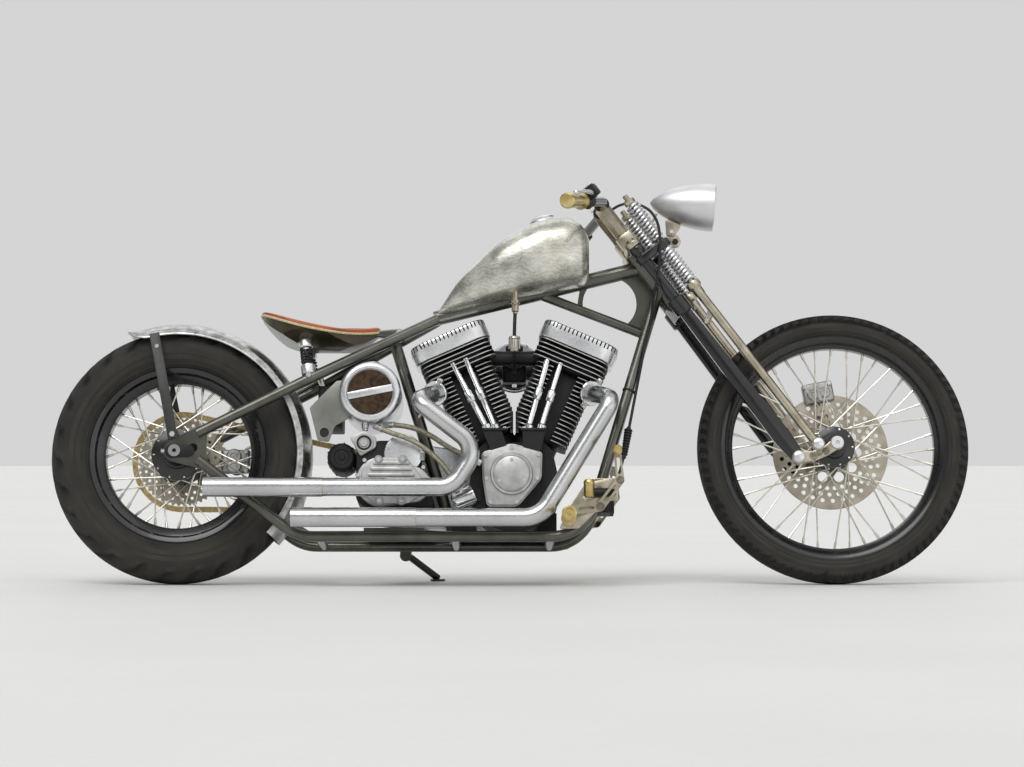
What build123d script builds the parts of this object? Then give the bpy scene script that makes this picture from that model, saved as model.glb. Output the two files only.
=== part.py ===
"""Hardtail bobber motorcycle with a springer fork and a 45-degree-class V-twin.

Millimetres. The bike is drawn upright with X forward from the rear axle, Y to the rider's left and
Z up from the floor. The finished pieces are then leaned onto the side stand and centred on their footprint.
"""
from build123d import *
import os
from math import asin, atan2, cos, degrees, pi, radians, sin, sqrt, tan

# Stance
WHEELBASE = 1642.0
LEAN = 8.0          # degrees to the left, onto the side stand
RAKE = 37.0         # degrees of the steering axis from the vertical
GAP = 0.3           # seat clearance between pieces that rest on each other
RUN = 0.4           # radial clearance of a turning fit

# Wheels: rim flange radius, then tyre height, bulge height and rim depth from it, crown radius, half tread,
# half width, half rim width, hub flange radius, half flange spacing, half hub length right and left
WHEELS = {
    "rear": dict(rim_r=217.0, tyre_h=103.0, bulge_h=55.0, rim_depth=36.0, crown_r=78.0, half_tread=50.0,
                 half_width=65.0, half_rim=44.0, flange_r=60.0, half_flange=44.0, hub_right=66.0, hub_left=91.0),
    "front": dict(rim_r=279.0, tyre_h=62.0, bulge_h=30.0, rim_depth=27.0, crown_r=50.0, half_tread=36.0,
                  half_width=45.0, half_rim=31.0, flange_r=47.0, half_flange=34.0, hub_right=62.0, hub_left=62.0),
}
for wheel in WHEELS.values():
    wheel["tyre_r"] = wheel["rim_r"] + wheel["tyre_h"]
    wheel["bulge_r"] = wheel["rim_r"] + wheel["bulge_h"]
    wheel["rim_inner"] = wheel["rim_r"] - wheel["rim_depth"]
SPOKES_PER_SIDE = 20
SPOKE_R = 1.9
SPOKE_SWEEP = 54.0  # degrees between a spoke's flange hole and its rim hole
AXLE_R = 9.5
AXLE_BORE = 5.0
SLEEVE_R = 16.0

# Brake discs and final drive
DISC_R = 146.0
DISC_Y = 58.0
DISC_T = 5.0
CHAIN_Y = 88.0
CHAIN_PITCH = 15.875
REAR_TEETH = 48
GEARBOX_TEETH = 24
SPROCKET_T = 6.0
CHAIN_INNER_H = 7.0  # half height of a chain link

# Frame: tube radii and the points that its tubes run through
MAIN_R = 19.0
RAIL_R = 13.5
STAY_R = 13.5
POST_R = 15.0
BRACE_R = 12.5
HEAD_R = 26.0
RAIL_Y = 115.0
RAIL_Z = 108.0
RAIL_REAR_X = 305.0
RAIL_FRONT_X = 1016.0
RAIL_BEND = 110.0
STAY_BEND = (330.0, 102.0, 504.0)
STAY_TOP = (648.0, 14.0, 670.0)
BACKBONE_REAR = (640.0, 674.0)
PLATE_IN = 107.0     # inner face of an axle plate
PLATE_T = 10.0
POST_TOP = (540.0, 607.0)
POST_FOOT_X = 695.0

# Engine
CRANK = (842.0, 233.0)
BANK = 23.5          # degrees of each cylinder from the vertical
CASE_R = 112.0
CASE_HALF = 92.0
DECK = 138.0         # crank centre to the cylinder's foot
FIN_PITCH = 11.5
FIN_T = 3.2
FIN_COUNT = 21
HEAD_FINS = 5
BARREL_HALF = 77.0
HEAD_HALF = 92.0
BOX_LENGTH = 204.0
BOX_WIDTH = 172.0
BOX_HEIGHT = 48.0

# Exhaust
PIPE_R = 22.5
PIPE_WALL = 2.0
SLEEVE_WALL = 1.5
PIPE_Y = -168.0

# Springer fork, in the steering frame: t forward of the axis, s up along it from the rocker pivot
LEG_Y = 92.0
SPRING_T = 59.0
AXLE_T, AXLE_S = 97.0, -29.0
YOKE_S = 482.0
YOKE_TOP = 505.5
TREE_S = 668.0
TREE_T = 16.0
BRIDGE_S = 620.0
BRIDGE_H = 22.0
COLLAR_S = 512.0
ROD_TOP_S = 776.0
BAR_S = 811.0
BAR_R = 12.7
STEM_R = 14.0
SPRING_R = 19.0
GRIP_LENGTH = 128.0

# Side stand
STAND_PIVOT = (566.0, 142.0, 92.0)
STAND_FOOT = (646.0, 206.0)
STAND_R = 9.0
STAND_SWING = 112.0  # degrees from the ground to its stowed place


def axle_height(wheel):
    """Axle height that sets the leaned tyre's crown on the floor."""
    return wheel["tyre_r"] - wheel["crown_r"] + wheel["crown_r"] / cos(radians(LEAN))


REAR_Z = axle_height(WHEELS["rear"])
FRONT_Z = axle_height(WHEELS["front"])
AXLES = {"rear": Pos(0, 0, REAR_Z), "front": Pos(WHEELBASE, 0, FRONT_Z)}

# The steering frame stands on the rocker pivot, so that the front axle falls at its place.
FORWARD = Vector(cos(radians(RAKE)), 0, sin(radians(RAKE)))
UPWARD = Vector(-sin(radians(RAKE)), 0, cos(radians(RAKE)))
PIVOT = Vector(WHEELBASE, 0, FRONT_Z) - FORWARD * AXLE_T - UPWARD * AXLE_S
FORK = Plane(origin=PIVOT, x_dir=FORWARD, z_dir=UPWARD)


def steered(t, s):
    """X and Z of a point in the middle plane of the steering frame."""
    point = PIVOT + FORWARD * t + UPWARD * s
    return point.X, point.Z


# The frame's front end and the headlight follow the neck.
BACKBONE_FRONT = steered(1.4, 625)
NECK_X, NECK_Z = BACKBONE_FRONT
DOWN_TOP = (NECK_X + 35, -20.0, NECK_Z - 60)
BRACE_Z = NECK_Z - 174
LAMP_TIP = (NECK_X + 15, NECK_Z + 168)


# Small helpers

def rod(start, end, radius):
    start, end = Vector(*start), Vector(*end)
    return Solid.make_cylinder(radius, (end - start).length, Plane(origin=start, z_dir=end - start))


def tube(points, radius, bends, wall=0.0):
    path = FilletPolyline(*points, radius=bends) if len(points) > 2 else Line(*points)
    ring = Circle(radius) - Circle(radius - wall) if wall else Circle(radius)
    return sweep(Plane(origin=path @ 0, z_dir=path % 0) * ring, path)


def slab(face, low, high):
    """A face drawn in X and Z, as thick as from Y = low to Y = high."""
    return Pos(0, high, 0) * extrude(Plane.XZ * face, high - low, dir=(0, -1, 0))


def rise(face, height):
    """A face drawn in X and Y, as tall as given."""
    return extrude(face, height, dir=(0, 0, 1))


def outline(*points, radius=0.0):
    face = Polygon(*points, align=None)
    return fillet(face.vertices(), radius) if radius else face


def hull(*circles):
    """The face around two or more circles in convex position, each given as x, z and radius."""
    middle = sum((Vector(x, z) for x, z, _ in circles), Vector()) / len(circles)
    ring = sorted(circles, key=lambda c: atan2(c[1] - middle.Y, c[0] - middle.X))
    spans = []
    for (x0, z0, r0), (x1, z1, r1) in zip(ring, ring[1:] + ring[:1]):
        run = Vector(x1 - x0, z1 - z0)
        along = run.normalized()
        share = (r0 - r1) / run.length
        normal = along * share + Vector(along.Y, -along.X) * sqrt(1 - share * share)
        spans.append((Vector(x0, z0) + normal * r0, Vector(x1, z1) + normal * r1, normal))
    edges = []
    for span, after, (x, z, r) in zip(spans, spans[1:] + spans[:1], ring[1:] + ring[:1]):
        first, last = atan2(span[2].Y, span[2].X), atan2(after[2].Y, after[2].X)
        half = ((last - first) % (2 * pi)) / 2
        top = Vector(cos(first + half), sin(first + half)) * r
        edges += [Line(span[0], span[1]), ThreePointArc(span[1], Vector(x, z) + top, after[0])]
    return make_face(edges)


def turned(*points):
    """A solid of revolution about Y from points of y and radius."""
    return revolve(Plane.YZ * Polygon(*points, align=None), Axis.Y)


def both_sides(shape):
    return [shape, mirror(shape, Plane.XZ)]


# Wheels

def tyre(w):
    """Rounded crown, straight sidewalls and the foot between the rim's flanges."""
    shoulder = w["tyre_r"] - w["crown_r"] + sqrt(w["crown_r"] ** 2 - w["half_tread"] ** 2)
    neck = w["half_rim"] - 5
    seat = w["rim_r"] - 10
    crown = ThreePointArc((-w["half_tread"], shoulder), (0, w["tyre_r"]), (w["half_tread"], shoulder))
    sides = Polyline((w["half_tread"], shoulder), (w["half_width"], w["bulge_r"]), (neck, w["rim_r"] + 2),
                     (neck, seat), (-neck, seat), (-neck, w["rim_r"] + 2), (-w["half_width"], w["bulge_r"]),
                     (-w["half_tread"], shoulder))
    return revolve(Plane.YZ * make_face([crown, sides]), Axis.Y)


def rim(w):
    """Channel section with two flanges and a drop centre."""
    half, seat = w["half_rim"], w["rim_r"] - 10 - GAP
    inside = half - 4 - GAP * 2
    return turned((-half, w["rim_r"]), (-inside, w["rim_r"]), (-inside, seat), (inside, seat), (inside, w["rim_r"]),
                  (half, w["rim_r"]), (half, seat - 3), (half * 0.4, w["rim_inner"]),
                  (-half * 0.4, w["rim_inner"]), (-half, seat - 3))


def spoke(start, end):
    line = end - start
    return extrude(Plane(origin=start, z_dir=line) * RegularPolygon(SPOKE_R, 6), line.length)


def hub(w, boss_r):
    """Barrel with two flanges."""
    f, r, right, left = w["half_flange"], w["flange_r"], w["hub_right"], w["hub_left"]
    return turned((-right, AXLE_R + RUN), (-right, boss_r), (-f - 2.5, r * 0.72), (-f - 2.5, r), (-f + 2.5, r),
                    (-f + 2.5, r * 0.6), (f - 2.5, r * 0.6), (f - 2.5, r), (f + 2.5, r), (f + 2.5, r * 0.72),
                    (left - DISC_T, boss_r), (left, boss_r), (left, AXLE_R + RUN))


def spokes(w):
    """Laced wires from the rims of the hub's flanges to the rim, every other one swept the other way."""
    f, near, far = w["half_flange"], w["flange_r"] + SPOKE_R, w["rim_inner"] - 0.9
    wires = []
    for side in (-1, 1):
        for k in range(SPOKES_PER_SIDE):
            hand = 1 if k % 2 == 0 else -1
            hole = radians(k * 360 / SPOKES_PER_SIDE + (9 if side > 0 else 0))
            nipple = hole + hand * radians(SPOKE_SWEEP)
            start = Vector(near * cos(hole), side * f + hand * 3.5, near * sin(hole))
            end = Vector(far * cos(nipple), side * 6 + hand * 1.2, far * sin(nipple))
            wires.append(spoke(start, end))
    return Compound(wires)


def front_disc():
    """Brake disc with a ring of round windows inside its braking band."""
    windows = PolarLocations(72, 10) * Circle(11)
    face = Circle(DISC_R) - Circle(BOSS_R["front"] + GAP) - windows
    return Pos(0, DISC_Y + DISC_T / 2, 0) * extrude(Plane.XZ * face, DISC_T)


BOSS_R = {"front": 34.0, "rear": 40.0}


def pitch_radius(teeth):
    return CHAIN_PITCH / (2 * sin(pi / teeth))


def sprocket_face(teeth, bore):
    """Toothed plate whose tips run just inside the chain's links."""
    tip = pitch_radius(teeth) - CHAIN_INNER_H - 1.2
    points = []
    for k in range(teeth):
        for share, radius in ((-0.3, tip - 5), (-0.12, tip), (0.12, tip), (0.3, tip - 5)):
            a = 2 * pi * (k + share) / teeth
            points.append((radius * cos(a), radius * sin(a)))
    return Polygon(*points, align=None) - Circle(bore)


def rear_sprocket():
    """Combined sprocket and brake rotor."""
    face = sprocket_face(REAR_TEETH, BOSS_R["rear"] + GAP) - PolarLocations(58, 6) * Circle(9)
    return Pos(0, CHAIN_Y + SPROCKET_T / 2, 0) * extrude(Plane.XZ * face, SPROCKET_T)


# Final drive

GEARBOX_SHAFT = (555.0, 258.0)


def drive_chain():
    """Closed loop of alternate wide and narrow links around the two sprockets."""
    big, small = pitch_radius(REAR_TEETH), pitch_radius(GEARBOX_TEETH)
    gear, wheel = Vector(*GEARBOX_SHAFT), Vector(0, REAR_Z)
    span = gear - wheel
    tilt = Vector(1, 0).get_signed_angle(span, Vector(0, 0, 1))
    lift = 90 - degrees(asin((big - small) / span.length))
    loop = [("arc", wheel, big, tilt + lift, 360 - 2 * lift), ("run", wheel, big, gear, small, tilt - lift),
            ("arc", gear, small, tilt - lift, 2 * lift), ("run", gear, small, wheel, big, tilt + lift)]
    places = chain_places(loop)
    count = round(sum(step for *_, step in places) / CHAIN_PITCH / 2) * 2
    links = []
    for k in range(count):
        x, z, heading = place_at(places, k / count)
        wide = k % 2 == 0
        link = Box(CHAIN_PITCH * (1.35 if wide else 0.9), 16 if wide else 10, 14 if wide else 12)
        links.append(Pos(x, CHAIN_Y, z) * Rot(0, -heading, 0) * link)
    return links[0] + links[1:]


def chain_places(loop):
    """Short straight steps along the loop: x, z, heading and step length."""
    places = []
    for piece in loop:
        if piece[0] == "arc":
            _, centre, radius, start, turn = piece
            steps = 48
            for k in range(steps):
                a = start + turn * (k + 0.5) / steps
                point = centre + Vector(cos(radians(a)), sin(radians(a))) * radius
                places.append((point.X, point.Y, a + 90, radians(turn) * radius / steps))
        else:
            _, c0, r0, c1, r1, a = piece
            normal = Vector(cos(radians(a)), sin(radians(a)))
            start, end = c0 + normal * r0, c1 + normal * r1
            steps = 48
            heading = Vector(1, 0).get_signed_angle(end - start, Vector(0, 0, 1))
            for k in range(steps):
                point = start + (end - start) * ((k + 0.5) / steps)
                places.append((point.X, point.Y, heading, (end - start).length / steps))
    return places


def place_at(places, share):
    target = share * sum(step for *_, step in places)
    run = 0.0
    for x, z, heading, step in places:
        if run + step > target:
            along = target - run - step / 2
            return x + along * cos(radians(heading)), z + along * sin(radians(heading)), heading
        run += step
    return places[-1][:3]


def gearbox_sprocket():
    shaft = rod((GEARBOX_SHAFT[0], GEARBOX_HALF + GAP, GEARBOX_SHAFT[1]),
                (GEARBOX_SHAFT[0], PRIMARY_IN - GAP, GEARBOX_SHAFT[1]), 16)
    plate = extrude(Plane.XZ * sprocket_face(GEARBOX_TEETH, 14), SPROCKET_T)
    return shaft + Pos(GEARBOX_SHAFT[0], CHAIN_Y + SPROCKET_T / 2, GEARBOX_SHAFT[1]) * plate


# Axles and calipers

def axle(end, right, left, face):
    """Hollow axle with its end nuts and the sleeves that reach from the hub to the carriers' inner faces."""
    core = rod((0, -end, 0), (0, end, 0), AXLE_R)
    nuts = [rod((0, side * (end - 11), 0), (0, side * end, 0), 15) for side in (-1, 1)]
    sleeves = [rod((0, -face, 0), (0, -right - GAP, 0), SLEEVE_R), rod((0, left + GAP, 0), (0, face, 0), SLEEVE_R)]
    return core + nuts + sleeves - rod((0, -end - 1, 0), (0, end + 1, 0), AXLE_BORE)


def caliper(length, height, inner, outer, slot, reach):
    """Two-piston body along X, open towards the disc that runs in its slot."""
    body = Pos(0, (inner + outer) / 2, 0) * Box(length, outer - inner, height)
    body = chamfer(body.edges().filter_by(Axis.Y), 8)
    for x in (-length / 5, length / 5):
        body += Pos(x, outer + 1.5, 0) * Rot(90, 0, 0) * Cylinder(height * 0.28, 3)
    return body - Pos(0, slot, -height / 2) * Box(length + 2, DISC_T + 6, reach * 2)


def rear_caliper():
    body = Rot(0, 90, 0) * caliper(60, 74, 71, 103, CHAIN_Y, 18)
    arm = slab(hull((-30, 0, 11), (-60, 10, 9), (-60, -6, 9)), 100, PLATE_IN - GAP)
    return Pos(136, 0, REAR_Z) * (body + arm)


def front_caliper():
    body = caliper(78, 54, 44, 74, DISC_Y, 20)
    carried = Rot(0, -11, 0) * Pos(0, 0, DISC_R + 8) * body
    arm = slab(hull((0, 0, 27), (-28, DISC_R - 12, 16)), 66, 72) - rod((0, 60, 0), (0, 80, 0), SLEEVE_R + GAP)
    return AXLES["front"] * (carried + arm)


# Frame

def head_core(radius):
    return FORK * (Pos(0, 0, (YOKE_TOP + TREE_S) / 2) * Cylinder(radius, TREE_S - YOKE_TOP - 1))


def downtube_at(z):
    """Centre of the right downtube at a height."""
    share = (z - RAIL_Z) / (DOWN_TOP[2] - RAIL_Z)
    return RAIL_FRONT_X + (DOWN_TOP[0] - RAIL_FRONT_X) * share, -RAIL_Y + (RAIL_Y + DOWN_TOP[1]) * share


def frame_backbone():
    """Neck tube, backbone, lower brace and the D-cut gusset between them."""
    (rear_x, rear_z), (front_x, front_z) = BACKBONE_REAR, BACKBONE_FRONT
    slope = (front_z - rear_z) / (front_x - rear_x)
    brace_x, brace_y = downtube_at(BRACE_Z)
    backbone = rod((rear_x, 0, rear_z), (front_x, 0, front_z), MAIN_R)
    brace = rod((900, 0, rear_z + slope * (900 - rear_x)), (brace_x, 0, BRACE_Z), BRACE_R)
    spreader = rod((brace_x, brace_y, BRACE_Z), (brace_x, -brace_y, BRACE_Z), BRACE_R)
    web = outline((front_x - 162, front_z - slope * 162), (front_x, front_z), (front_x + 38, front_z - 61),
                  (brace_x, BRACE_Z), (front_x - 172, front_z - 106)) - Pos(front_x - 89, front_z - 94) * Circle(68)
    solid = head_core(HEAD_R) + backbone + brace + spreader + slab(web, -4, 4)
    hole_x, hole_z = front_x - 34, front_z - 13
    return solid - head_core(STEM_R + RUN) - rod((hole_x, -6, hole_z), (hole_x, 6, hole_z), 8)


def frame_cradle(backbone):
    """One side's downtube, bottom rail and lower stay in one bent tube, with its axle plate."""
    rail = tube([(58, -RAIL_Y, REAR_Z - 22), (RAIL_REAR_X, -RAIL_Y, RAIL_Z), (RAIL_FRONT_X, -RAIL_Y, RAIL_Z),
                 DOWN_TOP], RAIL_R, RAIL_BEND)
    plate = hull((0, REAR_Z, 27), (62, REAR_Z + 44, 17), (62, REAR_Z - 26, 17)) - Pos(0, REAR_Z) * Circle(AXLE_R + 0.1)
    plate -= Pos(46, REAR_Z + 8) * Circle(11)
    return rail + slab(plate, -PLATE_IN - PLATE_T, -PLATE_IN) - backbone - head_core(HEAD_R)


def frame_stay(cradle, backbone):
    """The right upper stay, from its axle plate to the backbone's tail."""
    (bx, by, bz), (tx, ty, tz) = STAY_BEND, STAY_TOP
    stay = tube([(55, -RAIL_Y, REAR_Z + 44), (bx, -by, bz), (tx, -ty, tz)], STAY_R, 120)
    half = slab(outline((0, 300), (700, 300), (700, 800), (0, 800)), -300, 0)
    return biggest((stay & half) - cradle - backbone)


def stay_at(x):
    """Side offset and height of an upper stay ahead of its bend."""
    (bx, by, bz), (tx, ty, tz) = STAY_BEND, STAY_TOP
    share = (x - bx) / (tx - bx)
    return by + (ty - by) * share, bz + (tz - bz) * share


def frame_crossmembers(cradles):
    """Seat post, cross tubes, transmission plate and the fender's two tabs."""
    post_y, post_z = stay_at(POST_TOP[0])
    post = rod((POST_TOP[0], 0, post_z), (POST_FOOT_X, 0, RAIL_Z), POST_R)
    front_x, front_y = downtube_at(206)
    mount_y, mount_z = stay_at(352)
    solids = [post + rod((POST_TOP[0], -post_y, post_z), (POST_TOP[0], post_y, post_z), 11)
              + rod((POST_FOOT_X, -RAIL_Y, RAIL_Z), (POST_FOOT_X, RAIL_Y, RAIL_Z), 12),
              rod((930, -RAIL_Y, RAIL_Z), (930, RAIL_Y, RAIL_Z), 12),
              rod((front_x, front_y, 206), (front_x, -front_y, 206), 10),
              Pos(545, 0, RAIL_Z + RAIL_R + 4) * Box(150, 2 * RAIL_Y, 8),
              rod((360, -RAIL_Y, RAIL_Z), (360, RAIL_Y, RAIL_Z), 11) + fender_tab(360, RAIL_Z),
              rod((352, -mount_y, mount_z), (352, mount_y, mount_z), 10) + fender_tab(352, mount_z)]
    return Compound([solid - cradles for solid in solids])


def fender_tab(x, z):
    """Short post from a cross tube to the fender's crown."""
    reach = Vector(x, 0, z - REAR_Z)
    foot = reach.normalized() * (FENDER_R + GAP)
    return rod(foot + Vector(0, 0, REAR_Z), (x, 0, z), 7)


# Fender and seat

FENDER_R = WHEELS["rear"]["tyre_r"] + 16.0
FENDER_HALF = 74.0
FENDER_REAR, FENDER_FRONT = 112.5, -41.0


def rear_fender():
    """Thin channel bent round the wheel."""
    def section(half, crown, edge, low):
        arc = ThreePointArc((-half, edge), (0, crown), (half, edge))
        return make_face([arc, Polyline((half, edge), (half, low), (-half, low), (-half, edge))])
    face = section(FENDER_HALF, FENDER_R, FENDER_R - 20, FENDER_R - 33) - section(
        FENDER_HALF - 2.5, FENDER_R - 2.5, FENDER_R - 22, FENDER_R - 36)
    bent = revolve(Plane.YZ * face, Axis.Y, FENDER_REAR - FENDER_FRONT)
    return AXLES["rear"] * Rot(0, 90 - FENDER_REAR, 0) * bent


def fender_strut(fender, cradle):
    """Flat bar from the right axle plate to the fender's skirt."""
    low, high = Vector(-4, -PLATE_IN - PLATE_T - 3, REAR_Z + 30), Vector(-60, -FENDER_HALF + 2, REAR_Z + FENDER_R - 30)
    bar = extrude(Plane(origin=low, x_dir=(1, 0, 0.2), z_dir=high - low) * Rectangle(25, 5), (high - low).length)
    foot = slab(hull((-4, REAR_Z + 30, 12), (-6, REAR_Z + 40, 12)), low.Y - 2.5, low.Y + 2.5)
    return biggest(bar + foot - fender - cradle)


def biggest(shape):
    return max(shape.solids(), key=lambda solid: solid.volume)


SEAT_REAR, SEAT_NOSE = 204.0, 504.0
SEAT_HALF = 118.0
BOWL_R = 175.0
BOWL_Z = 588.0


def seat_layer(top, bottom, inset):
    """A layer between two arcs in the side view, cut to the seat's egg outline."""
    face = make_face([ThreePointArc(*top), Line(top[2], bottom[2]), ThreePointArc(*bottom), Line(bottom[0], top[0])])
    egg = hull((SEAT_REAR + SEAT_HALF, 0, SEAT_HALF - inset), (SEAT_NOSE - 26, 0, 26 - inset))
    return slab(face, -SEAT_HALF - 20, SEAT_HALF + 20) & Pos(0, 0, 500) * rise(egg, 300)


def seat_pad():
    top = [(SEAT_REAR - 4, 699), (330, 650), (SEAT_NOSE + 4, 655)]
    bottom = [(SEAT_REAR - 4, 683), (330, 634), (SEAT_NOSE + 4, 641)]
    return seat_layer(top, bottom, 0)


def seat_pan():
    """Bowl under the pad."""
    top = [(SEAT_REAR - 4, 683 - GAP), (330, 634 - GAP), (SEAT_NOSE + 4, 641 - GAP)]
    bottom = [(SEAT_REAR - 4, 676), (352, BOWL_Z), (SEAT_NOSE + 4, 633)]
    bowl = Pos(350, 0, BOWL_Z + BOWL_R) * Rot(0, 90, 0) * Cylinder(BOWL_R, 400)
    return seat_layer(top, bottom, 3) & bowl


def seat_bracket(pan, crossmembers):
    """Nose hinge on the cross tube at the head of the seat post."""
    _, z = stay_at(POST_TOP[0])
    hinge_x, hinge_z = POST_TOP[0] + 12, z + 20
    arm = slab(hull((hinge_x, hinge_z, 5), (SEAT_NOSE - 30, hinge_z - 7, 4)), -15, 15)
    knuckle = rod((hinge_x, -22, hinge_z), (hinge_x, 22, hinge_z), 9)
    return biggest(arm + knuckle - pan - crossmembers)


def spring_unit(length, radius, core, coils):
    """A coil spring as close rings round its rod, along Z from the origin."""
    points = [(core, 0)]
    pitch = length / coils
    for k in range(coils):
        points += [(core + 1.5, pitch * (k + 0.02)), (radius, pitch * (k + 0.3)), (radius, pitch * (k + 0.7)),
                   (core + 1.5, pitch * (k + 0.98))]
    points.append((core, length))
    return revolve(Plane.XZ * Polygon(*points, align=None), Axis.Z)


def seat_shock(pan, stay):
    """Small covered spring between the right stay and the pan."""
    (x, y, z), head = STAY_BEND, Vector(318, -76, 612)
    foot = Vector(x, -y + 2, z + 8)
    length = (head - foot).length
    body = Cylinder(9, length, align=(Align.CENTER, Align.CENTER, Align.MIN))
    body += Pos(0, 0, 8) * Cylinder(16, 26, align=(Align.CENTER, Align.CENTER, Align.MIN))
    body += Pos(0, 0, length - 40) * Cylinder(18, 26, align=(Align.CENTER, Align.CENTER, Align.MIN))
    body += Pos(0, 0, 34) * spring_unit(length - 74, 17, 8, 3)
    return biggest(Plane(origin=foot, z_dir=head - foot) * body - pan - stay)


# Fuel tank: station, underside, top and half width
TANK = [(650, 681, 692, 18), (700, 690, 772, 60), (800, 710, 869, 96), (900, 730, 925, 108), (985, 746, 938, 104),
        (1020, 753, 906, 90), (1030, 769, 878, 70)]
CAP_AT = (915.0, 930.0)


def fuel_tank(backbone):
    """Teardrop that sits over the backbone in a tunnel."""
    stations = []
    for x, low, top, half in TANK:
        corner = min(half, (top - low) / 2) * 0.8
        plane = Plane(origin=(x, 0, (low + top) / 2), x_dir=(0, 1, 0), z_dir=(1, 0, 0))
        stations.append(plane * RectangleRounded(2 * half, top - low, corner))
    (rear_x, rear_z), (front_x, front_z) = BACKBONE_REAR, BACKBONE_FRONT
    tunnel = rod((rear_x - 53, 0, rear_z - 13.2), (front_x, 0, front_z), MAIN_R + GAP)
    drop = Pos(0, 0, -60) * rod((rear_x - 53, 0, rear_z - 13.2), (front_x, 0, front_z), MAIN_R + GAP)
    return biggest(loft(stations) - tunnel - Pos(0, 0, -20) * tunnel - drop)


def fuel_cap(tank):
    x, z = CAP_AT
    body = Cylinder(31, 10, align=(Align.CENTER, Align.CENTER, Align.MIN)) + Pos(0, 0, 10) * Cone(
        28, 22, 6, align=(Align.CENTER, Align.CENTER, Align.MIN))
    skirt = Pos(0, 0, -18) * Cylinder(24, 18, align=(Align.CENTER, Align.CENTER, Align.MIN))
    return biggest(Pos(x, 0, z) * Rot(0, -14, 0) * (body + skirt) - tank)


def petcock(tank):
    """Tap under the tank, its hose and the small filter between the cylinders."""
    tap = rod((844, -62, 676), (844, -62, 740), 9) + rod((844, -78, 688), (844, -52, 688), 6)
    hose = tube([(844, -62, 680), (842, -66, 640), (842, -62, 600)], 4, 60)
    can = rod((842, -62, 578), (842, -62, 620), 15)
    lead = tube([(842, -62, 580), (842, -50, 552), (842, 0, 536)], 4, 25)
    return biggest(tap + hose + can + lead - tank)


# Engine and transmission

def bank_plane(hand):
    """Frame of a cylinder: local Z along its bore, local X away from the other bank."""
    lean = radians(BANK)
    return Plane(origin=(CRANK[0], 0, CRANK[1]), x_dir=(hand * cos(lean), 0, -sin(lean)),
                 z_dir=(hand * sin(lean), 0, cos(lean)))


HEAD_TOP = DECK + FIN_COUNT * FIN_PITCH
BANKS = {"rear": -1, "front": 1}
PRIMARY_IN = 100.0
GEARBOX_HALF = 70.0


def crankcase():
    """Closed case with two decks, lifter blocks, feet and the filter's pad."""
    x, z = CRANK
    solid = slab(hull((x, z, CASE_R), (x - 58, z + 72, 40), (x + 58, z + 72, 40)), -CASE_HALF, CASE_HALF)
    for hand in (-1, 1):
        solid += bank_plane(hand) * (Pos(0, 0, (60 + DECK - GAP) / 2) * Cylinder(57, DECK - GAP - 60))
    for block in LIFTERS:
        solid += slab(outline(*block), -122, -80)
    foot_z = RAIL_Z + 12 + GAP
    solid += Pos(924, 0, (foot_z + 172) / 2) * Box(46, 120, 172 - foot_z)
    for side in (-1, 1):
        solid += Pos(716, side * 58, (foot_z + 176) / 2) * Box(60, 44, 176 - foot_z)
    solid += rod((x, CASE_HALF - 2, z), (x, PRIMARY_IN - GAP, z), 92)
    return solid + Pos(747, -95, 214) * Box(26, 12, 34) - rod(*OIL_FILTER, 24 + GAP)


LIFTERS = [((760, 377), (808, 377), (824, 330), (784, 322)), ((862, 377), (920, 377), (908, 322), (864, 322))]
OIL_FILTER = ((690, -118, 190), (742, -118, 213))
PUSHRODS = [(774, 690, 540), (796, 722, 552), (876, 924, 552), (908, 956, 540)]


def pushrod(foot_x, head_x, head_z, radius):
    return rod((foot_x, -106, 377 + GAP), (head_x, -84, head_z), radius)


def pushrod_tubes():
    """Four tubes with a collar each, from the lifter blocks into the heads."""
    tubes = []
    for foot_x, head_x, head_z in PUSHRODS:
        line = Vector(head_x - foot_x, 22, head_z - 377).normalized()
        foot = Vector(foot_x, -106, 377 + GAP)
        collar = rod(foot + line * 62, foot + line * 92, 11)
        tubes.append(pushrod(foot_x, head_x, head_z, 8) + collar + rod(foot, foot + line * 12, 11)
                     - Pos(0, 0, 377 + GAP - 30) * Pos(842, -106, 15) * Box(400, 100, 30))
    return Compound(tubes)


def fin(inner, outer, half, notch, height):
    """One eight-cornered fin, narrower towards the other bank where the two would meet."""
    points = [(-inner, -half + notch), (-inner + notch, -half), (outer - notch, -half), (outer, -half + notch),
              (outer, half - notch), (outer - notch, half), (-inner + notch, half), (-inner, half - notch)]
    return rise(Polygon(*points, align=None), height)


def cylinder(hand, pipe):
    """Barrel and head with their fins, relieved for the pushrod tubes and seated on the exhaust pipe."""
    side = tan(radians(BANK))
    solid = Pos(0, 0, DECK) * fin(min(58, DECK * side - 2), 58, 58, 20, HEAD_TOP - DECK - GAP)
    fins = []
    for k in range(FIN_COUNT):
        z = DECK + FIN_PITCH * (k + 0.6)
        half = HEAD_HALF if k >= FIN_COUNT - HEAD_FINS else BARREL_HALF
        fins.append(Pos(0, 0, z) * fin(min(half, z * side - 3), half, half, 22, FIN_T))
    head = Pos(0, 0, HEAD_TOP - FIN_PITCH * HEAD_FINS) * fin(70, 70, 78, 24, FIN_PITCH * HEAD_FINS - GAP)
    solid = bank_plane(hand) * (solid + fins + head)
    reliefs = [pushrod(foot_x, head_x, head_z, 8 + GAP) for foot_x, head_x, head_z in PUSHRODS]
    collars = [rod((foot_x, -106, 377), (foot_x + (head_x - foot_x) * 0.62, -106 + 22 * 0.62,
                                         377 + (head_z - 377) * 0.62), 13) for foot_x, head_x, head_z in PUSHRODS]
    return biggest(solid - reliefs - collars - pipe)


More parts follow.
